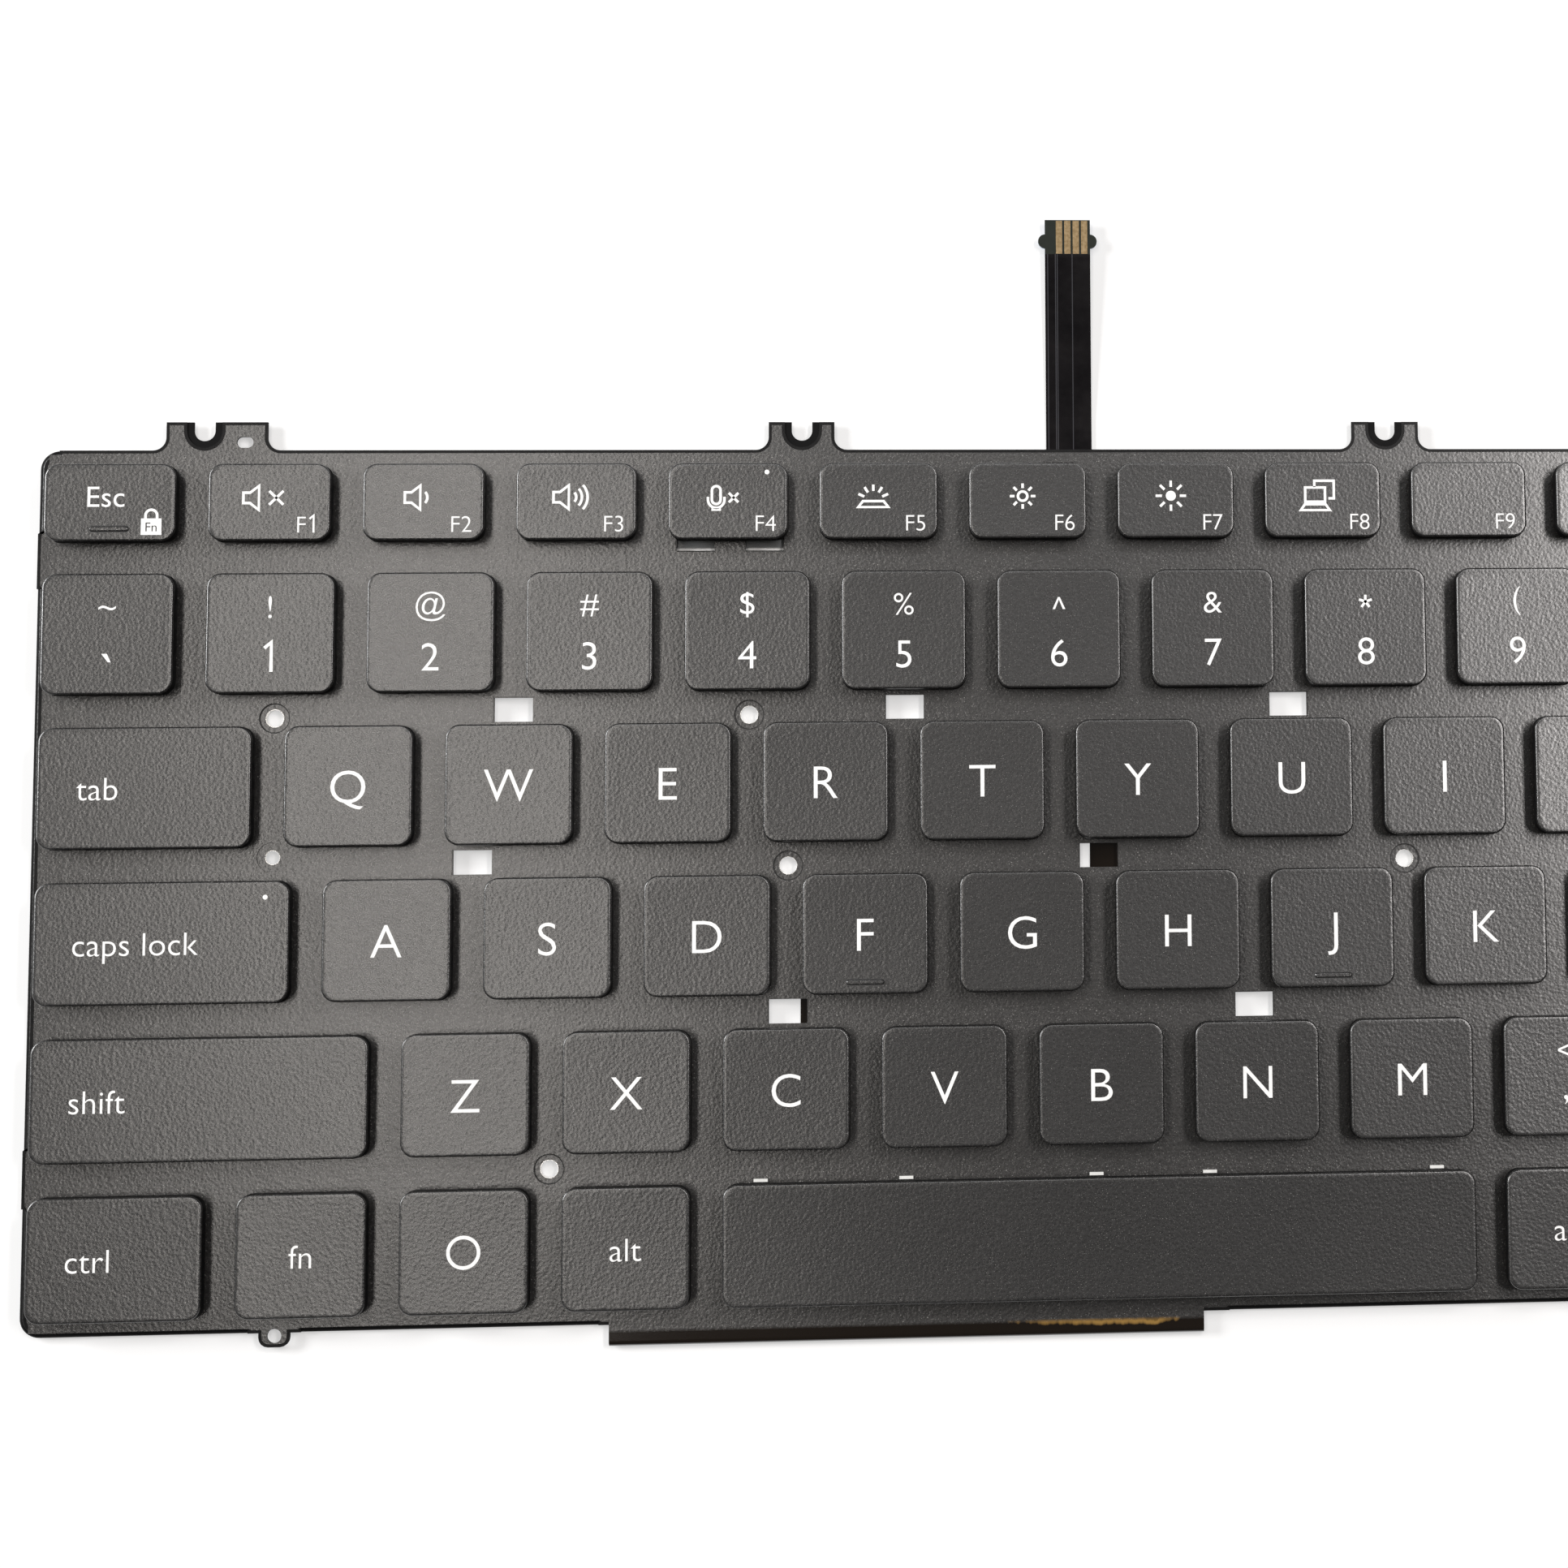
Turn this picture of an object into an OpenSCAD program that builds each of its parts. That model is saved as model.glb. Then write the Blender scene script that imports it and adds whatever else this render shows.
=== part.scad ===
// Laptop replacement keyboard: low caps on scissor links and rubber domes, a switch membrane,
// a folded sheet metal base plate with screw tabs, and a backlight under the plate.
// X runs along the rows, +Y points away from the typist and +Z points up.
// The origin is at the middle of the plate, on the plane that the bent edges rest on.

/* [Key layout] */
// Distance between key centres along a row
pitch_x = 18.05; // [17.5:0.05:19.5]
// Distance between the rows
pitch_y = 17.6; // [17:0.05:19.5]
// Gap between two caps in a row
gap_x = 3.6; // [3.2:0.1:4.2]
// Gap between two rows of caps
gap_y = 3.7; // [3.2:0.1:4.2]
// Depth of the low caps in the function row
fn_cap_d = 9.0; // [8.6:0.1:10]
// Gap between the two half-height caps of an arrow column
arrow_gap = 1.0; // [0.8:0.1:1.4]
// How much further out the first and last cap of a row reach
end_extra = 0.3; // [0:0.1:0.5]
// Strip of plate behind the function row
back_margin = 2.0; // [1.8:0.1:4]

/* [Key caps] */
// Height of a cap from its skirt to its top
cap_h = 1.75; // [1.6:0.05:1.8]
// Thickness of a cap's top
cap_top_t = 0.9; // [0.8:0.05:0.95]
// Thickness of a cap's skirt
cap_wall = 0.8; // [0.6:0.05:0.9]
// Radius of a cap's corners seen from above
cap_corner_r = 1.6; // [1:0.1:2]
// How far the skirt leans in on each side
cap_draft = 0.22; // [0.1:0.02:0.35]
// Radius along the edge of a cap's top
cap_edge_r = 0.35; // [0.2:0.05:0.45]
// Travel of a key
key_travel = 1.3; // [1:0.05:1.35]
// Length of the raised bar on the homing keys
homing_l = 4.6; // [3:0.1:6]
// Width of the raised bar
homing_w = 0.65; // [0.5:0.05:0.9]
// Height of the raised bar
homing_h = 0.2; // [0.1:0.05:0.3]
// Distance from the front of the cap to the raised bar
homing_inset = 1.4; // [1.2:0.1:2]

/* [Base plate] */
// Thickness of the sheet metal
plate_t = 0.4; // [0.3:0.05:0.5]
// Radius of the plate's corners
plate_corner_r = 2.2; // [1.8:0.1:3]
// Outer radius of the bent edge
bend_r = 0.6; // [0.5:0.05:0.8]
// How far the screw tabs reach past the rear edge
tab_reach = 3.3; // [3:0.1:4]
// Radius of the notch in a screw tab
tab_notch_r = 1.2; // [1:0.05:1.4]
// Radius of the screw holes
screw_r = 1.05; // [0.9:0.05:1.3]
// Radius of the opening in the membrane round a screw hole
screw_ring_r = 1.75; // [1.6:0.05:2]
// Width of the see-through windows between the keys
window_w = 4.4; // [3.6:0.1:5]
// Depth of the see-through windows
window_d = 2.8; // [2:0.1:3.2]
// Width of the two slots in front of the F4 key
slot_w = 4.4; // [3:0.1:5]

/* [Layers] */
// Thickness of the switch membrane
membrane_t = 0.2; // [0.15:0.05:0.25]
// How far the membrane stays inside the plate's edge
membrane_inset = 0.55; // [0.4:0.05:0.8]
// Thickness of the light mask
mask_t = 0.1; // [0.08:0.01:0.12]
// Thickness of the light guide
guide_t = 0.4; // [0.35:0.05:0.5]
// Thickness of the reflector
reflector_t = 0.1; // [0.08:0.01:0.12]
// Thickness of the back film
back_film_t = 0.1; // [0.08:0.01:0.12]
// Gap between the layers and the bent edge
layer_gap = 0.3; // [0.2:0.05:0.5]
// Width of the membrane where it folds round the front edge
fold_w = 68; // [60:1:72]
// How far the fold stands out in front of the plate
fold_reach = 2.4; // [2:0.1:3]

/* [Scissor links and domes] */
// Thickness of a scissor link
link_t = 0.5; // [0.4:0.05:0.55]
// Width of the outer link of a full-size key
link_w = 11; // [10.4:0.1:11.4]
// Length of the links of a full-size key
link_len = 9.4; // [9:0.1:9.8]
// Width of a link's arms
arm_w = 1.0; // [0.8:0.05:1.1]
// Sideways gap between the inner and the outer link
link_gap = 0.2; // [0.15:0.05:0.3]
// Radius of the pivot between the two links
pivot_r = 0.15; // [0.1:0.01:0.17]
// Radius of the base of a full-size dome
dome_r = 2.5; // [2.2:0.1:2.7]
// Wall of a dome
dome_wall = 0.3; // [0.2:0.05:0.4]
// Radius of the stabiliser wire
wire_r = 0.3; // [0.25:0.05:0.35]

/* [Backlight] */
// Width of the backlight's tail
tail_w = 5.4; // [5:0.1:6]
// How far the tail reaches past the plate
tail_l = 27.7; // [24:0.1:30]
// Thickness of the flexible circuit
flex_t = 0.12; // [0.08:0.01:0.15]
// Place of the tail along the plate, from the middle
tail_x = -12.1; // [-14:0.1:-8]
// Distance between the tail's contacts
contact_pitch = 1.0; // [0.9:0.05:1]
// Width of a contact
contact_w = 0.75; // [0.5:0.05:0.8]
// Length of the LED strip
strip_l = 100; // [80:1:120]
// Number of LEDs
led_count = 8; // [4:1:10]

/* [Hidden] */
// Widths of the keys in each row, in key units, from the function row to the front
units = [
    concat([1], [for (i = [1:14]) 13.5 / 14]),
    concat([for (i = [1:13]) 1], [1.5]),
    concat([1.5], [for (i = [1:13]) 1]),
    concat([1.75], [for (i = [1:11]) 1], [1.75]),
    concat([2.25], [for (i = [1:10]) 1], [2.25]),
    [1.25, 1, 1, 1, 5, 1, 1.25, 1, 1, 1]
];
// Names of the keys that have a node of their own, row by row
key_names = [
    ["esc"],
    ["grave", "1", "2", "3", "4", "5", "6", "7", "8", "9"],
    ["tab", "q", "w", "e", "r", "t", "y", "u", "i"],
    ["caps_lock", "a", "s", "d", "f", "g", "h", "j", "k"],
    ["left_shift", "z", "x", "c", "v", "b", "n", "m"],
    ["left_ctrl", "fn", "system", "left_alt", "space"]
];
homing_names = ["esc", "f", "j"];
arrow_row = 5;
first_arrow = 7;
$fn = 32;
arc_steps = 4;
over = 1;

// Plate outline
total_units = 14.5;
main_rows = 5;
plate_w = total_units * pitch_x;
plate_d = main_rows * pitch_y + gap_y / 2 + fn_cap_d + back_margin;
front_y = -plate_d / 2;
back_y = plate_d / 2;

// Heights, from the resting plane up
back_film_z = 0;
reflector_z = back_film_z + back_film_t;
guide_z = reflector_z + reflector_t;
mask_z = guide_z + guide_t;
plate_z = mask_z + mask_t;
plate_top = plate_z + plate_t;
membrane_top = plate_top + membrane_t;
skirt_clear = 0.1;
cap_bottom = membrane_top + skirt_clear + key_travel;
cap_top = cap_bottom + cap_h;
ceiling_z = cap_top - cap_top_t;

// Key geometry
cap_d = pitch_y - gap_y;
arrow_d = (cap_d - arrow_gap) / 2;
function unit_x(n) = n * pitch_x - plate_w / 2;
function units_before(r, i) = i == 0 ? 0 : units[r][i - 1] + units_before(r, i - 1);
function row_front(r) = front_y + (r == 0 ? main_rows : main_rows - r) * pitch_y;
function row_cap_d(r) = r == 0 ? fn_cap_d : cap_d;
function key_y(r) = row_front(r) + gap_y / 2 + row_cap_d(r) / 2;
function key_left(r, i) = unit_x(units_before(r, i)) + gap_x / 2 - (i == 0 ? end_extra : 0);
function key_right(r, i) =
    unit_x(units_before(r, i + 1)) - gap_x / 2 + (i == len(units[r]) - 1 ? end_extra : 0);
function key_x(r, i) = (key_left(r, i) + key_right(r, i)) / 2;
function key_w(r, i) = key_right(r, i) - key_left(r, i);
function is_arrow(r, i) = r == arrow_row && i >= first_arrow;

// One entry per switch: its middle, its cap's width and its cap's depth
arrow_shift = (arrow_d + arrow_gap) / 2;
switches = [
    for (r = [0:len(units) - 1]) for (i = [0:len(units[r]) - 1])
        for (side = is_arrow(r, i) ? [-1, 1] : [0])
            [key_x(r, i), key_y(r) + side * arrow_shift, key_w(r, i),
             is_arrow(r, i) ? arrow_d : row_cap_d(r)]
];
wide_units = 1.4;
long_units = 4;
wide_switches = [for (s = switches) if (s[2] > wide_units * pitch_x) s];
long_switches = [for (s = switches) if (s[2] > long_units * pitch_x) s];
// Seats of the scissor links: a long bar has one on each side of the middle as well
long_seat_share = 0.3;
seats = concat(
    switches,
    [for (s = long_switches) for (side = [-1, 1])
        [s[0] + side * s[2] * long_seat_share, s[1], s[2], s[3]]]
);

// Links: one end sits in the plate's hooks, the other under the cap
link_room = 0.3;
small_arm_w = 0.6;
function seat_len(s) = min(link_len, s[3] - 2 * (cap_wall + cap_draft) - link_room);
function seat_arm(s) = seat_len(s) < link_len ? small_arm_w : arm_w;
function seat_w(s) = min(link_w, s[2] - 2 * (cap_wall + cap_draft) - link_room);
link_clear = 0.15;
pivot_clear = 0.03;
link_low = membrane_top + link_t / 2 + link_clear;
link_high = ceiling_z - link_t / 2 - link_clear;
link_mid = (link_low + link_high) / 2;
inner_shorter = 0.8;
// A link's tilt, and how far its axles lie from its pivot, by its length
function link_tilt(length) = asin((link_high - link_low) / (length - link_t));
function axle_reach(length) = (length - link_t) / 2 * cos(link_tilt(length));
function inner_len(s) = seat_len(s) - inner_shorter;
hook_w = 0.9;
hook_x = 1.5;
hook_t = 0.2;
hook_lip = 0.4;
hook_clear = 0.1;
hook_room = 0.05;
hook_window_gap = 0.15;
hook_top = ceiling_z - key_travel - hook_room;
hook_lip_t = hook_top - link_low - link_t / 2 - hook_clear;
clip_w = 0.8;
clip_d = 0.5;
clip_h = 0.6;
clip_clear = 0.12;
clip_x = hook_x + hook_w + 0.3;

// Screw holes and windows, placed by the key grid: [key units, row boundary, offset behind it]
screw_places = [[1.5, 2, -0.8], [4.5, 2, -0.8], [4.75, 3, -0.8], [8.75, 3, -0.8], [3.25, 5, 0.1],
                [11.5, 2, -0.8], [11.75, 4, -0.2]];
pin_hole_place = [1.5, 3, 0.8];
pin_hole_r = 0.84;
collar_wall = 0.4;
window_places = [[3, 2, 0], [5.5, 2, 0], [8, 2, 0], [2.75, 3, 0], [6.75, 3, 0], [4.75, 4, 0],
                 [7.75, 4, 0]];
function place_x(p) = unit_x(p[0]);
function place_y(p) = back_y - back_margin - fn_cap_d - gap_y / 2 - (p[1] - 1) * pitch_y + p[2];

// Screw tabs: [middle of the notch, left edge, right edge], in key units
tab_places = [[1.027, 0.787, 1.425], [4.837, 4.622, 5.047], [8.673, 8.45, 8.894],
              [12.51, 12.285, 12.73]];
tab_notch_y = back_y + tab_reach - 1.0;
tab_slot_place = [1.282, 0.95];
tab_slot_l = 1.9;
tab_slot_r = 0.65;
tab_fillet_r = 1.5;
tab_step_r = 2.0;
tab_step_t = 0.1;
// Slots in front of F4: their offset to each side, their depth and how far they show
slot_key = 4;
slot_x = 4.0;
slot_d = 1.5;
slot_out = 1.05;
sheet_window_gap = 0.1;
film_window_gap = 0.25;

// Bent edges: [start, end] along each side, measured from the rear or from the left
rear_break = [9.7, 16.1];
front_break = [plate_d - 20.85, plate_d - 14.35];
side_lips = [[plate_corner_r, rear_break[0]], [rear_break[1], front_break[0]],
             [front_break[1], plate_d - plate_corner_r]];
fold_x = unit_x(3.63);
ear_x = unit_x(1.56);
ear_w = 3.5;
ear_reach = 1.6;
ear_root = 1.5;
ear_corner_r = 1.1;
ear_hole_r = 0.8;
ear_hole_out = 0.35;
ear_lip_gap = 1.2;
fold_lip_gap = 1.2;
ear_left = ear_x - ear_w / 2 + plate_w / 2;
fold_left = fold_x + plate_w / 2;
front_lips = [[plate_corner_r, ear_left - ear_lip_gap],
              [ear_left + ear_w + ear_lip_gap, fold_left - fold_lip_gap],
              [fold_left + fold_w + 2.5 * fold_lip_gap, plate_w - plate_corner_r]];

// Tail of the membrane: it lies in a recess of the films below the light guide
tail_film_z = reflector_z;
fold_y = front_y - fold_reach + (membrane_top - tail_film_z) / 2;
tail_wide_l = 4;
tail_neck = [fold_x + 21.6, fold_x + fold_w];
tail_neck_front = front_y + 8;
tail_neck_back = front_y + 38;
tail_end = [fold_x + 55.3, fold_x + 81.3];
tail_end_front = front_y + 50;
tail_end_back = front_y + 60;
membrane_stiffener_l = 6;

// Backlight
strip_d = 4;
strip_y = row_front(0) - strip_d / 2 + 1;
flex_clear = 0.3;
led_w = 1.6;
led_d = 0.9;
tail_crease = 4;
tail_rise = 0.9;
head_l = 4.5;
ear_tip_w = 7.0;
head_ear_r = 0.85;
head_ear_back = 2.6;
contact_count = 4;
contact_t = 0.03;
contact_l = 4.0;
contact_end = 0.1;
contact_offset = 0.5;
stiffener_t = 0.2;
tail_end_y = back_y + tail_l;
head_z = guide_z + tail_rise;

function arc_points(cx, cy, r, start) =
    [for (k = [0:arc_steps]) [cx + r * cos(start + 90 * k / arc_steps),
                              cy + r * sin(start + 90 * k / arc_steps)]];

// Rectangle with rounded corners, centred
module rounded_rect(w, d, r) {
    polygon(concat(
        arc_points(w / 2 - r, d / 2 - r, r, 0),
        arc_points(-w / 2 + r, d / 2 - r, r, 90),
        arc_points(-w / 2 + r, -d / 2 + r, r, 180),
        arc_points(w / 2 - r, -d / 2 + r, r, 270)
    ));
}

// Section of a cap: straight foot, leaning skirt and rounded top edge
module cap_section(width) {
    foot = 0.03;
    top_half = width / 2 - cap_draft;
    polygon(concat(
        [[-width / 2 - foot, 0], [width / 2 + foot, 0]],
        arc_points(top_half - cap_edge_r, cap_h - cap_edge_r, cap_edge_r, 0),
        arc_points(-top_half + cap_edge_r, cap_h - cap_edge_r, cap_edge_r, 90)
    ));
}

module along_x(length) {
    rotate([90, 0, 90]) linear_extrude(length, center = true) children();
}

module along_y(length) {
    rotate([90, 0, 0]) linear_extrude(length, center = true) children();
}

// Jaws under a cap, inside the upper axles of the two links
module cap_clips(s) {
    room = link_t / 2 + clip_clear + clip_d / 2;
    for (side = [-1, 1]) for (y = [room - axle_reach(inner_len(s)), axle_reach(seat_len(s)) - room])
        translate([side * clip_x, y, ceiling_z - clip_h / 2])
            cube([clip_w, clip_d, clip_h], center = true);
}

module homing_bar(d) {
    translate([0, -d / 2 + homing_inset, cap_top]) {
        translate([0, 0, homing_h / 2]) cube([homing_l - homing_w, homing_w, homing_h], center = true);
        for (side = [-1, 1]) translate([side * (homing_l - homing_w) / 2, 0, 0])
            cylinder(homing_h, d = homing_w);
    }
}

// One cap, centred on its switch
module cap(s) {
    w = s[2];
    d = s[3];
    difference() {
        translate([0, 0, cap_bottom]) intersection() {
            linear_extrude(cap_h) rounded_rect(w, d, cap_corner_r);
            along_y(d + over) cap_section(w);
            along_x(w + over) cap_section(d);
        }
        translate([0, 0, cap_bottom - over]) linear_extrude(cap_h - cap_top_t + over)
            rounded_rect(w - 2 * cap_wall, d - 2 * cap_wall, cap_corner_r - cap_wall);
    }
    cap_clips(s);
}

// Switch entry of a key by its row and place
function key_switch(r, i) = [key_x(r, i), key_y(r), key_w(r, i), row_cap_d(r)];

function is_homing(name) = len([for (h = homing_names) if (h == name) h]) > 0;

module letter_key(r, i) {
    s = key_switch(r, i);
    color("dimgray") translate([s[0], s[1], 0]) {
        cap(s);
        if (is_homing(key_names[r][i])) homing_bar(s[3]);
    }
}

module function_row_caps() {
    color("dimgray") for (i = [len(key_names[0]):len(units[0]) - 1])
        translate([key_x(0, i), key_y(0), 0]) cap(key_switch(0, i));
}

module right_side_caps() {
    color("dimgray") for (r = [1:len(units) - 1]) for (i = [len(key_names[r]):len(units[r]) - 1])
        for (side = is_arrow(r, i) ? [-1, 1] : [0])
            translate([key_x(r, i), key_y(r) + side * arrow_shift, 0])
                cap([0, 0, key_w(r, i), is_arrow(r, i) ? arrow_d : cap_d]);
}

// Hook bent up from the middle of the plate's thickness over the lower axle of a link
module plate_hook() {
    root = plate_z + plate_t / 2;
    along_x(hook_w) polygon([
        [0, root], [hook_t, root], [hook_t, hook_top], [-hook_lip, hook_top],
        [-hook_lip, hook_top - hook_lip_t], [0, hook_top - hook_lip_t]
    ]);
}

// Inner faces of the hooks of one seat: behind the inner link, in front of the outer link
function hook_reaches(s) = [axle_reach(inner_len(s)) + link_t / 2 + hook_clear,
                            -axle_reach(seat_len(s)) - link_t / 2 - hook_clear];

module seat_hooks(s) {
    for (x = [-1, 1]) for (y = hook_reaches(s)) translate([x * hook_x, y, 0])
        rotate([0, 0, y < 0 ? 180 : 0]) plate_hook();
}

// Flat outline of the plate with its tabs, notches, windows and holes
module plate_outline() {
    difference() {
        union() {
            square([plate_w, plate_d - 2 * plate_corner_r], center = true);
            square([plate_w - 2 * plate_corner_r, plate_d], center = true);
            for (x = [-1, 1]) for (y = [-1, 1])
                translate([x * (plate_w / 2 - plate_corner_r), y * (plate_d / 2 - plate_corner_r)])
                    circle(plate_corner_r);
            for (tab = tab_places) screw_tab(tab);
            translate([ear_x, front_y + (ear_root - ear_reach) / 2])
                rounded_rect(ear_w, ear_root + ear_reach, ear_corner_r);
        }
        for (tab = tab_places) {
            translate([unit_x(tab[0]), tab_notch_y]) circle(tab_notch_r);
            translate([unit_x(tab[0]) - tab_notch_r, tab_notch_y]) square([2 * tab_notch_r, tab_reach]);
        }
        translate([unit_x(tab_slot_place[0]), back_y + tab_slot_place[1]]) {
            square([tab_slot_l - 2 * tab_slot_r, 2 * tab_slot_r], center = true);
            for (side = [-1, 1]) translate([side * (tab_slot_l / 2 - tab_slot_r), 0]) circle(tab_slot_r);
        }
        for (p = screw_places) translate([place_x(p), place_y(p)]) circle(screw_r);
        translate([place_x(pin_hole_place), place_y(pin_hole_place)]) circle(pin_hole_r);
        translate([ear_x, front_y - ear_hole_out]) circle(ear_hole_r);
        windows(0);
        front_slots(0);
    }
}

// A tab with a hollow fillet on each side of its root
module screw_tab(tab) {
    left = unit_x(tab[1]);
    right = unit_x(tab[2]);
    translate([left, back_y - over]) square([right - left, tab_reach + over]);
    difference() {
        translate([left - tab_fillet_r, back_y - over])
            square([right - left + 2 * tab_fillet_r, tab_fillet_r + over]);
        for (x = [left - tab_fillet_r, right + tab_fillet_r])
            translate([x, back_y + tab_fillet_r]) circle(tab_fillet_r);
    }
}

// The rectangular see-through windows, grown by a margin
module windows(margin) {
    for (p = window_places) translate([place_x(p), place_y(p)])
        square([window_w + 2 * margin, window_d + 2 * margin], center = true);
}

// The two slots in front of the F4 key, grown by a margin
module front_slots(margin) {
    for (side = [-1, 1])
        translate([key_x(0, slot_key) + side * slot_x, key_y(0) - fn_cap_d / 2 - slot_out + slot_d / 2])
            square([slot_w + 2 * margin, slot_d + 2 * margin], center = true);
}

// Collar under the plate round a screw hole, down to the resting plane
module screw_collar() {
    difference() {
        cylinder(plate_z + plate_t / 2, r = screw_r + collar_wall);
        translate([0, 0, -over]) cylinder(plate_top + 2 * over, r = screw_r);
    }
}

// Coined step round the notch of each tab
module tab_steps() {
    for (tab = tab_places) translate([unit_x(tab[0]), tab_notch_y, plate_top - tab_step_t]) {
        cylinder(tab_step_t + over, r = tab_step_r);
        translate([-tab_step_r, 0, 0]) cube([2 * tab_step_r, tab_reach, tab_step_t + over]);
    }
}

// Section of a bent edge: out along +X, then down
module lip_section() {
    difference() {
        translate([-bend_r - plate_t, 0]) square([bend_r + plate_t, plate_top]);
        translate([-bend_r - plate_t - over, -over]) square([bend_r + over, plate_z + over]);
        difference() {
            translate([-bend_r, plate_top - bend_r]) square(bend_r + over);
            translate([-bend_r, plate_top - bend_r]) circle(bend_r);
        }
    }
}

// Straight bent edge from y = 0 to y = length, with its outer face on x = 0
module lip(length) {
    translate([0, length, 0]) rotate([90, 0, 0]) linear_extrude(length) lip_section();
}

module corner_lip() {
    rotate_extrude(angle = 90) translate([plate_corner_r, 0]) lip_section();
}

module base_plate() {
    color("#3b3a38") {
        difference() {
            translate([0, 0, plate_z]) linear_extrude(plate_t) plate_outline();
            edge_relief();
            tab_steps();
        }
        for (side = [0, 1]) mirror([side, 0, 0]) {
            for (run = side_lips) translate([plate_w / 2, back_y - run[1], 0]) lip(run[1] - run[0]);
            for (y = [0, 1]) mirror([0, y, 0])
                translate([plate_w / 2 - plate_corner_r, back_y - plate_corner_r, 0]) corner_lip();
        }
        for (run = front_lips) translate([run[0] - plate_w / 2, front_y, 0]) rotate([0, 0, -90])
            lip(run[1] - run[0]);
        for (s = seats) translate([s[0], s[1], 0]) seat_hooks(s);
        for (p = screw_places) translate([place_x(p), place_y(p), 0]) screw_collar();
    }
}

// The flat sheet stops short of the bend wherever an edge is bent down
module edge_relief() {
    for (side = [0, 1]) mirror([side, 0, 0]) {
        for (run = side_lips) translate([plate_w / 2 - bend_r, back_y - run[1], plate_z - over])
            cube([bend_r + over, run[1] - run[0], plate_t + 2 * over]);
        for (y = [0, 1]) mirror([0, y, 0])
            translate([plate_w / 2 - plate_corner_r, back_y - plate_corner_r, plate_z - over])
                difference() {
                    cube([plate_corner_r + over, plate_corner_r + over, plate_t + 2 * over]);
                    translate([0, 0, -over]) cylinder(plate_t + 4 * over, r = plate_corner_r - bend_r);
                }
    }
    for (run = front_lips) translate([run[0] - plate_w / 2, front_y - over, plate_z - over])
        cube([run[1] - run[0], bend_r + over, plate_t + 2 * over]);
}

// Openings in the membrane over both hooks of each end of a link
module hook_windows() {
    for (s = seats) for (x = [-1, 1]) for (y = hook_reaches(s))
        translate([s[0] + x * hook_x, s[1] + y + sign(y) * hook_t / 2])
            square([hook_w + 2 * hook_window_gap, hook_t + 2 * hook_window_gap], center = true);
}

module membrane() {
    fold_outer = (membrane_top - tail_film_z) / 2;
    fold_inner = (plate_top - guide_z) / 2;
    color("#2b2723") {
        translate([0, 0, plate_top]) linear_extrude(membrane_t) difference() {
            union() {
                square([plate_w - 2 * membrane_inset - 2 * bend_r,
                        plate_d - 2 * membrane_inset], center = true);
                translate([fold_x, fold_y]) square([fold_w, front_y + 2 * over - fold_y]);
            }
            for (p = concat(screw_places, [pin_hole_place]))
                translate([place_x(p), place_y(p)]) circle(screw_ring_r);
            windows(sheet_window_gap);
            front_slots(sheet_window_gap);
            hook_windows();
        }
        translate([fold_x + fold_w / 2, fold_y, 0]) along_x(fold_w) difference() {
            translate([0, tail_film_z + fold_outer]) circle(fold_outer);
            translate([0, guide_z + fold_inner]) circle(fold_inner);
            translate([0, -over]) square([membrane_top, membrane_top + 2 * over]);
        }
        translate([0, 0, tail_film_z]) linear_extrude(guide_z - tail_film_z) membrane_tail(0);
    }
}

// Plan of the folded tail, grown by a margin: as wide as the fold, then a neck that slants to
// the right, then its bare end
module membrane_tail(margin) {
    polygon([
        [fold_x - margin, fold_y], [fold_x + fold_w + margin, fold_y],
        [tail_neck[1] + margin, tail_neck_back - margin],
        [tail_end[1] + margin, tail_end_front - margin], [tail_end[1] + margin, tail_end_back + margin],
        [tail_end[0] - margin, tail_end_back + margin], [tail_end[0] - margin, tail_end_front + margin],
        [tail_neck[0] - margin, tail_neck_back + margin],
        [tail_neck[0] - margin, tail_neck_front + margin],
        [fold_x - margin, front_y + tail_wide_l + margin]
    ]);
}

// Stiff strip under the bare end of the membrane's tail
module membrane_stiffener() {
    color("royalblue") translate([tail_end[0], tail_end_back - membrane_stiffener_l, back_film_z])
        cube([tail_end[1] - tail_end[0], membrane_stiffener_l, tail_film_z - back_film_z]);
}

// Dome of one switch, from its base flange to its flat top under the cap
module dome(r) {
    base_z = membrane_top;
    flange_t = 0.15;
    flange_w = 0.35;
    top_r = r * 0.5;
    neck_z = ceiling_z - 1.5 * dome_wall;
    rotate_extrude() polygon([
        [r, base_z], [r, base_z + flange_t], [r - flange_w, base_z + flange_t], [top_r, neck_z],
        [top_r, ceiling_z], [0, ceiling_z], [0, ceiling_z - dome_wall],
        [top_r - dome_wall, ceiling_z - dome_wall], [top_r - dome_wall, neck_z],
        [r - flange_w - dome_wall, base_z]
    ]);
}

module rubber_domes() {
    color("ivory") for (s = switches) translate([s[0], s[1], 0])
        dome(min(dome_r, seat_len(s) / 2 - seat_arm(s) - inner_shorter / 2 - 0.1));
}

// Link lying flat and centred: two arms with round ends and a round axle at each end
module link_frame(w, length, arm) {
    reach = (length - link_t) / 2;
    for (side = [-1, 1]) {
        translate([side * (w - arm) / 2, 0, 0]) along_x(arm) {
            square([2 * reach, link_t], center = true);
            for (end = [-1, 1]) translate([end * reach, 0]) circle(link_t / 2);
        }
        translate([0, side * reach, 0]) along_x(w - arm) circle(link_t / 2);
    }
}

module outer_links() {
    color("whitesmoke") for (s = seats) translate([s[0], s[1], link_mid])
        rotate([link_tilt(seat_len(s)), 0, 0]) difference() {
            link_frame(seat_w(s), seat_len(s), seat_arm(s));
            along_x(seat_w(s) + over) circle(pivot_r + pivot_clear);
        }
}

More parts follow.
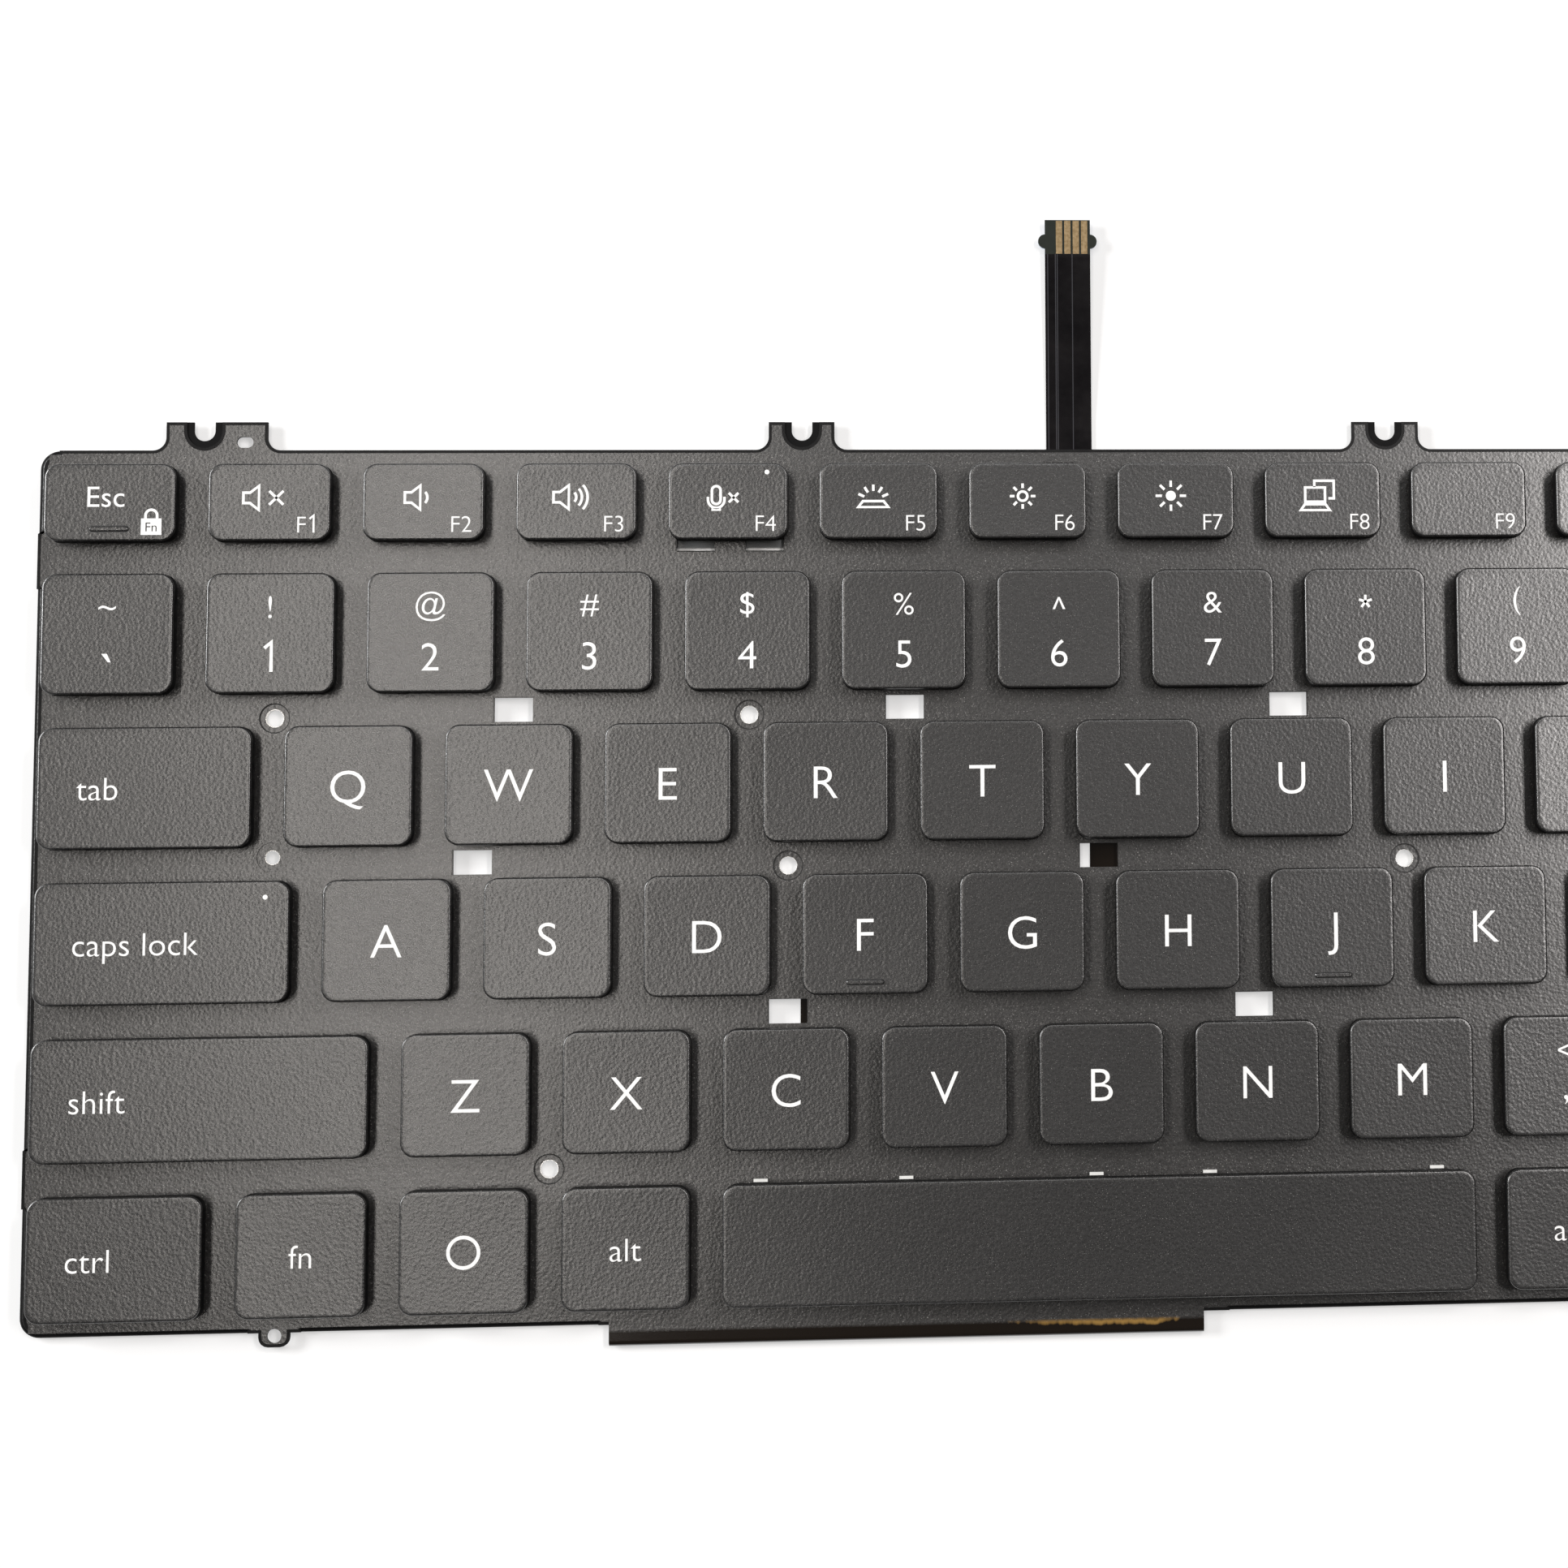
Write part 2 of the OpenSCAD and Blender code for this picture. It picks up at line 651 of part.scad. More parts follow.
module inner_links() {
    color("gainsboro") for (s = seats) translate([s[0], s[1], link_mid]) {
        w = seat_w(s) - 2 * seat_arm(s) - 2 * link_gap;
        rotate([-link_tilt(inner_len(s)), 0, 0]) link_frame(w, inner_len(s), seat_arm(s));
        for (side = [-1, 1]) translate([side * (w / 2 + link_gap), 0, 0])
            along_x(2 * link_gap + seat_arm(s)) circle(pivot_r);
    }
}

// Wire that keeps a wide cap level: a bar under the cap and two arms down to the plate
module stabiliser_wires() {
    color("silver") for (s = wide_switches) translate([s[0], s[1], 0]) wire(s);
}

function wire_half(s) = s[2] / 2 - cap_wall - cap_draft - 1.2;
function wire_y(s) = s[3] / 2 - cap_wall - cap_draft - wire_r - 0.2;
wire_arm = 5;
joint_swell = 1.08;
wire_high = ceiling_z - wire_r - 0.05;
wire_low = membrane_top + wire_r + 0.15;

module wire(s) {
    bar = wire_half(s);
    translate([0, wire_y(s), wire_high]) along_x(2 * bar) circle(wire_r);
    for (side = [-1, 1]) {
        translate([side * bar, wire_y(s), wire_high]) {
            sphere(wire_r * joint_swell);
            rotate([90 + atan((wire_high - wire_low) / wire_arm), 0, 0])
                cylinder(norm([wire_arm, wire_high - wire_low]), r = wire_r);
        }
        translate([side * bar, wire_y(s) - wire_arm, wire_low]) sphere(wire_r * joint_swell);
        translate([side * (bar - 0.75), wire_y(s) - wire_arm, wire_low]) along_x(1.5) circle(wire_r);
    }
}

// Plastic clips: the bearings of the wires, and the guides behind the space bar
module stabiliser_clips() {
    guide_steps = [-0.452, -0.26, -0.007, 0.145, 0.452];
    guide_w = 1.6;
    guide_d = 0.35;
    guide_h = 0.5;
    clip_l = 1.2;
    clip_d = 1.6;
    clip_h = 2 * wire_r + 0.3;
    color("white") {
        for (s = wide_switches) for (side = [-1, 1])
            translate([s[0] + side * (wire_half(s) - 1.0), s[1] + wire_y(s) - wire_arm, membrane_top])
                difference() {
                    translate([-clip_l / 2, -clip_d / 2, 0]) cube([clip_l, clip_d, clip_h]);
                    translate([0, 0, wire_low - membrane_top]) along_x(clip_l + over)
                        circle(wire_r + 0.05);
                }
        for (s = long_switches) for (k = guide_steps)
            translate([s[0] + k * s[2] - guide_w / 2, s[1] + s[3] / 2 + 0.05, membrane_top])
                cube([guide_w, guide_d, guide_h]);
    }
}

// Sheet that fills the tray between the bent edges
module layer_outline() {
    inset = plate_t + layer_gap;
    difference() {
        rounded_rect(plate_w - 2 * inset, plate_d - 2 * inset, plate_corner_r - inset);
        for (p = concat(screw_places, [pin_hole_place]))
            translate([place_x(p), place_y(p)]) circle(screw_ring_r);
        windows(film_window_gap);
    }
}

module light_mask() {
    color("#151515") translate([0, 0, mask_z]) linear_extrude(mask_t) difference() {
        layer_outline();
        front_slots(film_window_gap);
    }
}

// Clear sheet with a pocket for the LED strip and a channel for its tail
module light_guide() {
    color("lightcyan", 0.6) translate([0, 0, guide_z]) linear_extrude(guide_t) difference() {
        layer_outline();
        translate([tail_x, strip_y]) square([strip_l + 2 * flex_clear, strip_d + 2 * flex_clear],
                                            center = true);
        translate([tail_x - tail_w / 2 - flex_clear, strip_y])
            square([tail_w + 2 * flex_clear, plate_d]);
    }
}

// The two lowest films leave a recess for the membrane's folded tail
module recessed_outline() {
    difference() {
        layer_outline();
        membrane_tail(layer_gap);
    }
}

module reflector() {
    color("white") translate([0, 0, reflector_z]) linear_extrude(reflector_t) recessed_outline();
}

module back_film() {
    color("#202020") translate([0, 0, back_film_z]) linear_extrude(back_film_t) recessed_outline();
}

// Side view of the tail: flat under the plate, creased, then up to its level head
module tail_side() {
    polygon([
        [strip_y, guide_z], [back_y + tail_crease, guide_z], [tail_end_y - head_l, head_z],
        [tail_end_y, head_z], [tail_end_y, head_z + flex_t], [tail_end_y - head_l, head_z + flex_t],
        [back_y + tail_crease, guide_z + flex_t], [strip_y, guide_z + flex_t]
    ]);
}

// Plan of the tail's head, with an ear on each side
module head_outline() {
    translate([tail_x - tail_w / 2, tail_end_y - head_l]) square([tail_w, head_l]);
    for (side = [-1, 1])
        translate([tail_x + side * (ear_tip_w / 2 - head_ear_r), tail_end_y - head_ear_back])
            circle(head_ear_r);
}

module backlight_flex() {
    color("darkgoldenrod") {
        translate([tail_x, strip_y, guide_z + flex_t / 2])
            cube([strip_l, strip_d, flex_t], center = true);
        intersection() {
            translate([tail_x, 0, 0]) along_x(ear_tip_w + over) tail_side();
            linear_extrude(cap_top) {
                head_outline();
                translate([tail_x - tail_w / 2, strip_y])
                    square([tail_w, tail_end_y - head_l - strip_y + over]);
            }
        }
    }
}

module backlight_leds() {
    led_h = guide_t - flex_t - 0.02;
    step = strip_l / led_count;
    color("lemonchiffon") for (i = [0:led_count - 1])
        translate([tail_x + (i - (led_count - 1) / 2) * step - led_w / 2,
                   strip_y - strip_d / 2, guide_z + flex_t])
            cube([led_w, led_d, led_h]);
}

module tail_stiffener() {
    color("steelblue") translate([0, 0, head_z - stiffener_t]) linear_extrude(stiffener_t)
        head_outline();
}

module tail_contacts() {
    color("gold") for (i = [0:contact_count - 1])
        translate([tail_x + contact_offset + (i - (contact_count - 1) / 2) * contact_pitch
                   - contact_w / 2, tail_end_y - contact_l - contact_end, head_z + flex_t])
            cube([contact_w, contact_l, contact_t]);
}

base_plate();
membrane();
rubber_domes();
outer_links();
inner_links();
stabiliser_wires();
stabiliser_clips();
light_mask();
light_guide();
reflector();
back_film();
backlight_flex();
backlight_leds();
tail_stiffener();
tail_contacts();
membrane_stiffener();
function_row_caps();
right_side_caps();
for (r = [0:len(key_names) - 1]) for (i = [0:len(key_names[r]) - 1])
    letter_key(r, i);
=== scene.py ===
import math
import bmesh
import bpy
from mathutils import Euler, Matrix, Vector


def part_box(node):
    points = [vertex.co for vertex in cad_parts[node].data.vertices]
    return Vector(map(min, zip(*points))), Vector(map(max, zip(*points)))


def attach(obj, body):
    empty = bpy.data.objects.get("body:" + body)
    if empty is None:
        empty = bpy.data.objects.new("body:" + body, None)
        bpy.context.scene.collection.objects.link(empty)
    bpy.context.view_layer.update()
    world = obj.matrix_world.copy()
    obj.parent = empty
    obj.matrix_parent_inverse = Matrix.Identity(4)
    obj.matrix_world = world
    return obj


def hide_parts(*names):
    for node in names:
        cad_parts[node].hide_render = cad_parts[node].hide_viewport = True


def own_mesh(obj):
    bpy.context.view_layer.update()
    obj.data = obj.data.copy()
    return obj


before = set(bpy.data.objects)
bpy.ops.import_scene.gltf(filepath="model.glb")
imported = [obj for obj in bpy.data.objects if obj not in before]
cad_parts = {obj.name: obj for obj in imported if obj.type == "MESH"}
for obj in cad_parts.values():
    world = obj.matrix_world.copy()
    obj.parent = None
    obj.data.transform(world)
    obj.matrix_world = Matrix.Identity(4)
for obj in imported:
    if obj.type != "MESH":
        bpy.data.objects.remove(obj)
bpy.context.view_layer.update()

# Camera. The keyboard is seen from almost straight above with a medium lens. The frame is a
# crop of a wider view, so the lens axis lies right of and above the middle: that is the shift.
FRAME_PIXELS = 1932
LENS_PIXELS = 3806
LENS_AXIS = (1528, 764)
SENSOR = 36.0
NEAREST_SEEN = 0.01
CAMERA_PLACE = (-0.02204, -0.00650, 0.36431)
CAMERA_TURN = (5.777, -4.646, -0.792)
camera_data = bpy.data.cameras.new("camera")
camera_data.sensor_width = SENSOR
camera_data.sensor_fit = "HORIZONTAL"
camera_data.lens = LENS_PIXELS / FRAME_PIXELS * SENSOR
camera_data.shift_x = (FRAME_PIXELS / 2 - LENS_AXIS[0]) / FRAME_PIXELS
camera_data.shift_y = (LENS_AXIS[1] - FRAME_PIXELS / 2) / FRAME_PIXELS
camera_data.clip_start = NEAREST_SEEN
camera = bpy.data.objects.new("camera", camera_data)
bpy.context.scene.collection.objects.link(camera)
camera.location = CAMERA_PLACE
camera.rotation_euler = Euler([math.radians(a) for a in CAMERA_TURN], "XYZ")
bpy.context.scene.camera = camera
bpy.context.scene.view_settings.view_transform = "Standard"


# Studio. A pale table top, and two long soft lamps above the left and the right half, which
# leave a sheen on the outer keys and keep the middle dark. A low lamp far to the left casts
# the shadows, and a weak one behind fills them in.
FLOOR_WHITE = (0.93, 0.93, 0.93)
FLOOR_REACH = 3
FLOOR_DROP = 0.00002
FLOOR_ROUGHNESS = 0.9
PLAIN_WHITE_SHARE = 0.45
WORLD_STRENGTH = 0.06
LAMPS = (
    # name, place, where it points, width, length, power, tint
    ("left_softbox", (-0.198, 0.06, 0.62), (-0.08, 0.0, 0.0), 0.07, 0.40, 0.76,
     (1.0, 0.95, 0.90)),
    ("right_softbox", (0.205, 0.125, 0.45), (0.06, 0.0, 0.0), 0.07, 0.30, 1.42,
     (1.0, 0.96, 0.94)),
    ("low_left_lamp", (-0.80, 0.25, 0.42), (-0.02, 0.0, 0.0), 0.25, 0.4, 9.0, (1, 1, 1)),
    ("rear_fill", (-0.03, 0.36, 0.62), (0.0, 0.0, 0.0), 0.5, 0.12, 0.92, (1, 1, 1)))


def new_material(name):
    material = bpy.data.materials.new(name)
    material.use_nodes = True
    return material, material.node_tree.nodes, material.node_tree.links


def calculate(nodes, links, operation, *terms):
    """The result of a Math node whose terms are sockets or plain numbers."""
    node = nodes.new("ShaderNodeMath")
    node.operation = operation
    for socket, term in zip(node.inputs, terms):
        if isinstance(term, bpy.types.NodeSocket):
            links.new(term, socket)
        else:
            socket.default_value = term
    return node.outputs[0]


def blend_shaders(nodes, links, share, first, second):
    """Ends a material in a blend of two shaders, the second where the share is 1."""
    blend = nodes.new("ShaderNodeMixShader")
    links.new(share, blend.inputs["Fac"])
    links.new(first.outputs[0], blend.inputs[1])
    links.new(second.outputs[0], blend.inputs[2])
    links.new(blend.outputs[0], nodes["Material Output"].inputs["Surface"])


corners = [(-FLOOR_REACH, -FLOOR_REACH, 0), (FLOOR_REACH, -FLOOR_REACH, 0),
           (FLOOR_REACH, FLOOR_REACH, 0), (-FLOOR_REACH, FLOOR_REACH, 0)]
floor_mesh = bpy.data.meshes.new("table_top")
floor_mesh.from_pydata(corners, [], [(0, 1, 2, 3)])
floor = bpy.data.objects.new("table_top", floor_mesh)
bpy.context.scene.collection.objects.link(floor)
floor.location.z = -FLOOR_DROP
floor_material, nodes, links = new_material("table_white")
lit_table = nodes["Principled BSDF"]
lit_table.inputs["Base Color"].default_value = (*FLOOR_WHITE, 1)
lit_table.inputs["Roughness"].default_value = FLOOR_ROUGHNESS
plain_white = nodes.new("ShaderNodeEmission")
plain_white.inputs["Strength"].default_value = 1.0
paths = nodes.new("ShaderNodeLightPath")
seen = calculate(nodes, links, "MAXIMUM",
                 paths.outputs["Is Camera Ray"], paths.outputs["Is Glossy Ray"])
seen = calculate(nodes, links, "MAXIMUM", seen, paths.outputs["Is Transmission Ray"])
blend_shaders(nodes, links, calculate(nodes, links, "MULTIPLY", seen, PLAIN_WHITE_SHARE),
              lit_table, plain_white)
floor_mesh.materials.append(floor_material)

world = bpy.data.worlds.new("studio")
world.use_nodes = True
world.node_tree.nodes["Background"].inputs["Color"].default_value = (1, 1, 1, 1)
world.node_tree.nodes["Background"].inputs["Strength"].default_value = WORLD_STRENGTH
bpy.context.scene.world = world

for name, place, target, width, length, power, tint in LAMPS:
    data = bpy.data.lights.new(name, "AREA")
    data.shape = "RECTANGLE"
    data.size = width
    data.size_y = length
    data.energy = power
    data.color = tint
    lamp = bpy.data.objects.new(name, data)
    bpy.context.scene.collection.objects.link(lamp)
    lamp.location = place
    back = (Vector(place) - Vector(target)).normalized()
    across = Vector((0, 1, 0)).cross(back).normalized()
    lamp.rotation_euler = Matrix((across, back.cross(across), back)).transposed().to_euler()


# Coating. Cap tops and plate carry a soft-touch black lacquer: a fine leather grain, tiny mica
# flecks painted bright as painted glints, and a broad sheen where the lamps graze it.
COAT_SHEEN = 1.0
GLOSS_SPREAD = (-0.04, 0.05)
NOISE_SPAN = (0.2, 0.8)
CLOUD_SCALE = 55.0
CLOUD_LIFT = (-0.35, 0.15)
SPARKLE_SCALE = 9000.0
SPARKLE_SHOWS = (0.68, 0.76)
SPARKLE_SHARE = 0.8
FINE_SCALE = 2600.0
GRAIN_SMOOTHNESS = 0.6
GRAIN_CONTRAST = 1.3
GRAIN_RELIEF = 0.55


def add_noise(nodes, links, place, scale, detail=2.0):
    texture = nodes.new("ShaderNodeTexNoise")
    texture.inputs["Scale"].default_value = scale
    texture.inputs["Detail"].default_value = detail
    links.new(place, texture.inputs["Vector"])
    return texture.outputs["Fac"]


def map_range(nodes, links, source, low, high, to_low, to_high):
    remap = nodes.new("ShaderNodeMapRange")
    for label, value in (("From Min", low), ("From Max", high),
                         ("To Min", to_low), ("To Max", to_high)):
        remap.inputs[label].default_value = value
    links.new(source, remap.inputs["Value"])
    return remap.outputs["Result"]


def mix_colours(nodes, links, share, first, second):
    """A colour between two others, each a socket or a plain colour."""
    mix = nodes.new("ShaderNodeMix")
    mix.data_type = "RGBA"
    links.new(share, mix.inputs["Factor"])
    for label, colour in (("A", first), ("B", second)):
        if isinstance(colour, bpy.types.NodeSocket):
            links.new(colour, mix.inputs[label])
        else:
            mix.inputs[label].default_value = (*colour, 1)
    return mix.outputs["Result"]


def emboss(nodes, links, shader, height, depth):
    """Gives a surface a fine relief, and returns the node that does it."""
    bump = nodes.new("ShaderNodeBump")
    bump.inputs["Distance"].default_value = depth
    links.new(height, bump.inputs["Height"])
    links.new(bump.outputs["Normal"], shader.inputs["Normal"])
    return bump


def lacquer(name, dark, light, roughness, grain_size, grain_depth, sparkle):
    material, nodes, links = new_material(name)
    shader = nodes["Principled BSDF"]
    shader.inputs["Specular IOR Level"].default_value = COAT_SHEEN
    place = nodes.new("ShaderNodeTexCoord").outputs["Object"]
    cloud = add_noise(nodes, links, place, CLOUD_SCALE, 3.0)
    speck = add_noise(nodes, links, place, SPARKLE_SCALE, 1.0)
    fine = add_noise(nodes, links, place, FINE_SCALE, 3.0)
    voronoi = nodes.new("ShaderNodeTexVoronoi")
    voronoi.feature = "SMOOTH_F1"
    voronoi.inputs["Scale"].default_value = 1.0 / grain_size
    voronoi.inputs["Smoothness"].default_value = GRAIN_SMOOTHNESS
    links.new(place, voronoi.inputs["Vector"])
    grain = voronoi.outputs["Distance"]
    lift = map_range(nodes, links, cloud, *NOISE_SPAN, *CLOUD_LIFT)
    mottle = calculate(nodes, links, "MULTIPLY_ADD", grain, GRAIN_CONTRAST, lift)
    mottle.node.use_clamp = True
    tone = mix_colours(nodes, links, mottle, dark, light)
    # Painted glints: tiny specks of the coat are painted a light grey.
    painted_glint = map_range(nodes, links, speck, *SPARKLE_SHOWS, 0.0, SPARKLE_SHARE)
    links.new(mix_colours(nodes, links, painted_glint, tone, sparkle), shader.inputs["Base Color"])
    gloss = map_range(nodes, links, speck, *NOISE_SPAN,
                      roughness + GLOSS_SPREAD[0], roughness + GLOSS_SPREAD[1])
    links.new(gloss, shader.inputs["Roughness"])
    height = calculate(nodes, links, "ADD", grain, fine)
    relief = emboss(nodes, links, shader, height, grain_depth)
    relief.inputs["Strength"].default_value = GRAIN_RELIEF
    return material


cap_lacquer = lacquer("cap_lacquer", dark=(0.0080, 0.0077, 0.0076), light=(0.0210, 0.0203, 0.0202),
                      roughness=0.28, grain_size=0.00036, grain_depth=0.000026,
                      sparkle=(0.35, 0.34, 0.32))


# Key caps. Each is moulded in one piece: a flat top with rounded corners, a small radius along
# its edge that catches the light, nearly upright sides and a hollow underside. Below the edge
# radius the sides are duller and painted near black, which is painted shade. Esc, F and J have
# a raised bar to feel.
CAP_CORNER = 0.0016
CAP_EDGE = 0.00022
CAP_DRAFT = 0.00004
CAP_WALL = 0.0008
CAP_TOP = 0.0009
CAP_DISH = 0.00001
DISH_INSET = 2.2 * CAP_EDGE
DISH_CORNER = CAP_CORNER - 1.5 * CAP_EDGE
CORNER_STEPS = 8
EDGE_STEPS = 4
BAR_KEYS = ("esc", "f", "j")
BAR_INSET = 0.0014
RAISED_BAR = (0.0044, 0.00062, 0.0002)
BAR_PROFILE = ((-0.1, 0.0), (0.6, 0.00005), (0.95, 0.00015))
BAR_END_SPARE = 0.00001
SCUFF_SCALE = 1200.0
SCUFF_SPAN = (0.3, 0.7)
CREASE = 35
WELD = 1e-7
FLAT_AREA = 1e-8


def node_islands(node):
    """The separate solids of a node, each as a list of vertices and a list of faces."""
    mesh = bmesh.new()
    mesh.from_mesh(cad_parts[node].data)
    bmesh.ops.remove_doubles(mesh, verts=mesh.verts, dist=WELD)
    mesh.verts.ensure_lookup_table()
    island_of = {}
    islands = []
    for seed in mesh.verts:
        if seed.index in island_of:
            continue
        stack, found = [seed], []
        island_of[seed.index] = len(islands)
        while stack:
            vertex = stack.pop()
            found.append(vertex)
            for edge in vertex.link_edges:
                other = edge.other_vert(vertex)
                if other.index not in island_of:
                    island_of[other.index] = len(islands)
                    stack.append(other)
        islands.append(found)
    result = []
    for found in islands:
        place = {v.index: k for k, v in enumerate(found)}
        faces = {f.index: f for v in found for f in v.link_faces}
        result.append(([v.co.copy() for v in found],
                       [[place[v.index] for v in f.verts] for f in faces.values()]))
    mesh.free()
    return result


def rounded_loop(half_w, half_d, radius, z, centre):
    points = []
    for quarter, (sx, sy) in enumerate(((1, 1), (-1, 1), (-1, -1), (1, -1))):
        for step in range(CORNER_STEPS + 1):
            angle = math.radians(90 * quarter + 90 * step / CORNER_STEPS)
            x = centre[0] + sx * (half_w - radius) + radius * math.cos(angle)
            y = centre[1] + sy * (half_d - radius) + radius * math.sin(angle)
            points.append(Vector((x, y, z)))
    return points


def bridge(mesh, lower, upper):
    """Joins two closed rows of vertices with faces."""
    for k in range(len(lower)):
        j = (k + 1) % len(lower)
        mesh.faces.new((lower[k], lower[j], upper[j], upper[k]))


def cap_mesh(mesh, low, high):
    """Adds one cap that fills the box from low to high."""
    centre = ((low[0] + high[0]) / 2, (low[1] + high[1]) / 2)
    half_w = (high[0] - low[0]) / 2
    half_d = (high[1] - low[1]) / 2
    rings = [rounded_loop(half_w, half_d, CAP_CORNER, low[2], centre)]
    top_w = half_w - CAP_DRAFT
    top_d = half_d - CAP_DRAFT
    for step in range(EDGE_STEPS + 1):
        angle = math.radians(90 * step / EDGE_STEPS)
        inset = CAP_EDGE * (1 - math.cos(angle))
        z = high[2] - CAP_EDGE * (1 - math.sin(angle))
        rings.append(rounded_loop(top_w - inset, top_d - inset, CAP_CORNER - inset, z, centre))
    rings.append(rounded_loop(top_w - DISH_INSET, top_d - DISH_INSET, DISH_CORNER,
                              high[2] - CAP_DISH, centre))
    inner = [rounded_loop(half_w - CAP_WALL, half_d - CAP_WALL, CAP_CORNER - CAP_WALL / 2, z,
                          centre) for z in (low[2], high[2] - CAP_TOP)]
    loops = [[mesh.verts.new(p) for p in ring] for ring in rings]
    for lower, upper in zip(loops, loops[1:]):
        bridge(mesh, lower, upper)
    mesh.faces.new(loops[-1])
    hollow = [[mesh.verts.new(p) for p in ring] for ring in inner]
    foot = loops[0]
    for k in range(len(foot)):
        following = (k + 1) % len(foot)
        mesh.faces.new((foot[following], foot[k], hollow[0][k], hollow[0][following]))
        mesh.faces.new((hollow[0][following], hollow[0][k],
                        hollow[1][k], hollow[1][following]))
    mesh.faces.new(list(reversed(hollow[1])))


def raised_bar(mesh, centre_x, front_y, top_z):
    """The long rounded ridge that the finger feels on a homing key."""
    length, width, height = RAISED_BAR
    centre_y = front_y + BAR_INSET
    rings = []
    for share, shrink in BAR_PROFILE:
        rings.append([mesh.verts.new(p) for p in rounded_loop(
            length / 2 - shrink, width / 2 - shrink, width / 2 - shrink - BAR_END_SPARE,
            top_z + share * height, (centre_x, centre_y))])
    for lower, upper in zip(rings, rings[1:]):
        bridge(mesh, lower, upper)
    mesh.faces.new(rings[-1])


def finish_piece(name, mesh, body, materials):
    """Turns a bmesh into a piece that rides on a body; what is flat faces up."""
    bmesh.ops.recalc_face_normals(mesh, faces=mesh.faces)
    if sum(face.normal.z * face.calc_area() for face in mesh.faces) < -FLAT_AREA:
        bmesh.ops.reverse_faces(mesh, faces=mesh.faces)
    data = bpy.data.meshes.new(name)
    mesh.to_mesh(data)
    mesh.free()
    data.shade_smooth()
    data.set_sharp_from_angle(angle=math.radians(CREASE))
    for material in materials:
        data.materials.append(material)
    piece = bpy.data.objects.new(name, data)
    bpy.context.scene.collection.objects.link(piece)
    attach(piece, body)
    return piece


key_nodes = sorted(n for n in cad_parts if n.startswith("key_"))
cap_top_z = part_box("key_space")[1][2]


def paint_shade_below(material, low, high, dark, light, rough, sheen):
    """Below a height the finish turns duller and the colour near black, as painted shade."""
    nodes, links = material.node_tree.nodes, material.node_tree.links
    shaded_side = nodes.new("ShaderNodeBsdfPrincipled")
    shaded_side.inputs["Specular IOR Level"].default_value = sheen
    place = nodes.new("ShaderNodeTexCoord").outputs["Object"]
    split = nodes.new("ShaderNodeSeparateXYZ")
    links.new(place, split.inputs["Vector"])
    scuff = add_noise(nodes, links, place, SCUFF_SCALE)
    links.new(map_range(nodes, links, scuff, *SCUFF_SPAN, *rough), shaded_side.inputs["Roughness"])
    links.new(mix_colours(nodes, links, scuff, dark, light), shaded_side.inputs["Base Color"])
    share = map_range(nodes, links, split.outputs["Z"], low, high, 0.0, 1.0)
    blend_shaders(nodes, links, share, shaded_side, nodes["Principled BSDF"])


# Painted shade: the cap sides below the edge radius are painted near black.
paint_shade_below(cap_lacquer, low=cap_top_z - 2 * CAP_EDGE, high=cap_top_z - CAP_EDGE,
           dark=(0.0022, 0.0022, 0.0024), light=(0.0040, 0.0040, 0.0042),
           rough=(0.5, 0.7), sheen=0.08)
cap_boxes = {}
for node in key_nodes:
    low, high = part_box(node)
    cap_boxes[node.removeprefix("key_")] = (tuple(low), (high[0], high[1], cap_top_z))
for node in key_nodes:
    name = node.removeprefix("key_")
    low, high = cap_boxes[name]
    mesh = bmesh.new()
    cap_mesh(mesh, low, high)
    if name in BAR_KEYS:
        raised_bar(mesh, (low[0] + high[0]) / 2, low[1], high[2])
    piece = finish_piece("cap_" + name, mesh, node, [cap_lacquer])
    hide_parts(node)

fixed_boxes = {}
for group in ("function_row_caps", "right_side_caps"):
    mesh = bmesh.new()
    boxes = []
    for points, _ in node_islands(group):
        low = tuple(min(p[a] for p in points) for a in range(3))
        high = tuple(max(p[a] for p in points) for a in range(3))
        boxes.append((low, high))
        cap_mesh(mesh, low, high)
    fixed_boxes[group] = sorted(boxes, key=lambda b: (-round(b[0][1], 4), b[0][0]))
    piece = finish_piece(group + "_lacquered", mesh, "frame", [cap_lacquer])
    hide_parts(group)


# Key mechanism. Under each cap sit a silicone dome and two moulded links that cross like
# scissors; wide keys have a bent wire as well.
MOULD_CLOUDS = (0.35, 0.65)
MOULD_GRAIN = (0.3, 0.7)
GRAIN_PER_CLOUD = 6


def moulded(name, dark, light, scale, rough, grain_depth=0.00001, metallic=0.0):
    """A finish with cloudy colour, uneven gloss and a slight grain."""
    material, nodes, links = new_material(name)
    shader = nodes["Principled BSDF"]
    shader.inputs["Metallic"].default_value = metallic
    place = nodes.new("ShaderNodeTexCoord").outputs["Object"]
    cloud = add_noise(nodes, links, place, scale, 3.0)
    grain = add_noise(nodes, links, place, scale * GRAIN_PER_CLOUD, 2.0)
    share = map_range(nodes, links, cloud, *MOULD_CLOUDS, 0.0, 1.0)
    links.new(mix_colours(nodes, links, share, dark, light), shader.inputs["Base Color"])
    links.new(map_range(nodes, links, grain, *MOULD_GRAIN, *rough), shader.inputs["Roughness"])
    emboss(nodes, links, shader, grain, grain_depth)
    return material


silicone = moulded("silicone", (0.66, 0.65, 0.62), (0.76, 0.75, 0.72), 900.0, (0.32, 0.5))
acetal = moulded("moulded_acetal", (0.60, 0.60, 0.58), (0.74, 0.74, 0.72), 700.0, (0.36, 0.5))
spring_wire = moulded("spring_wire", (0.50, 0.50, 0.49), (0.60, 0.60, 0.58), 1500.0,
                      (0.22, 0.42), metallic=1.0)
MECHANISM = (("rubber_domes", "dome", "dome_rubber", silicone),
             ("outer_links", "outer_link", "link_plastic", acetal),
             ("inner_links", "inner_link", "link_plastic", acetal),
             ("stabiliser_wires", "wire", "wire_steel", spring_wire))


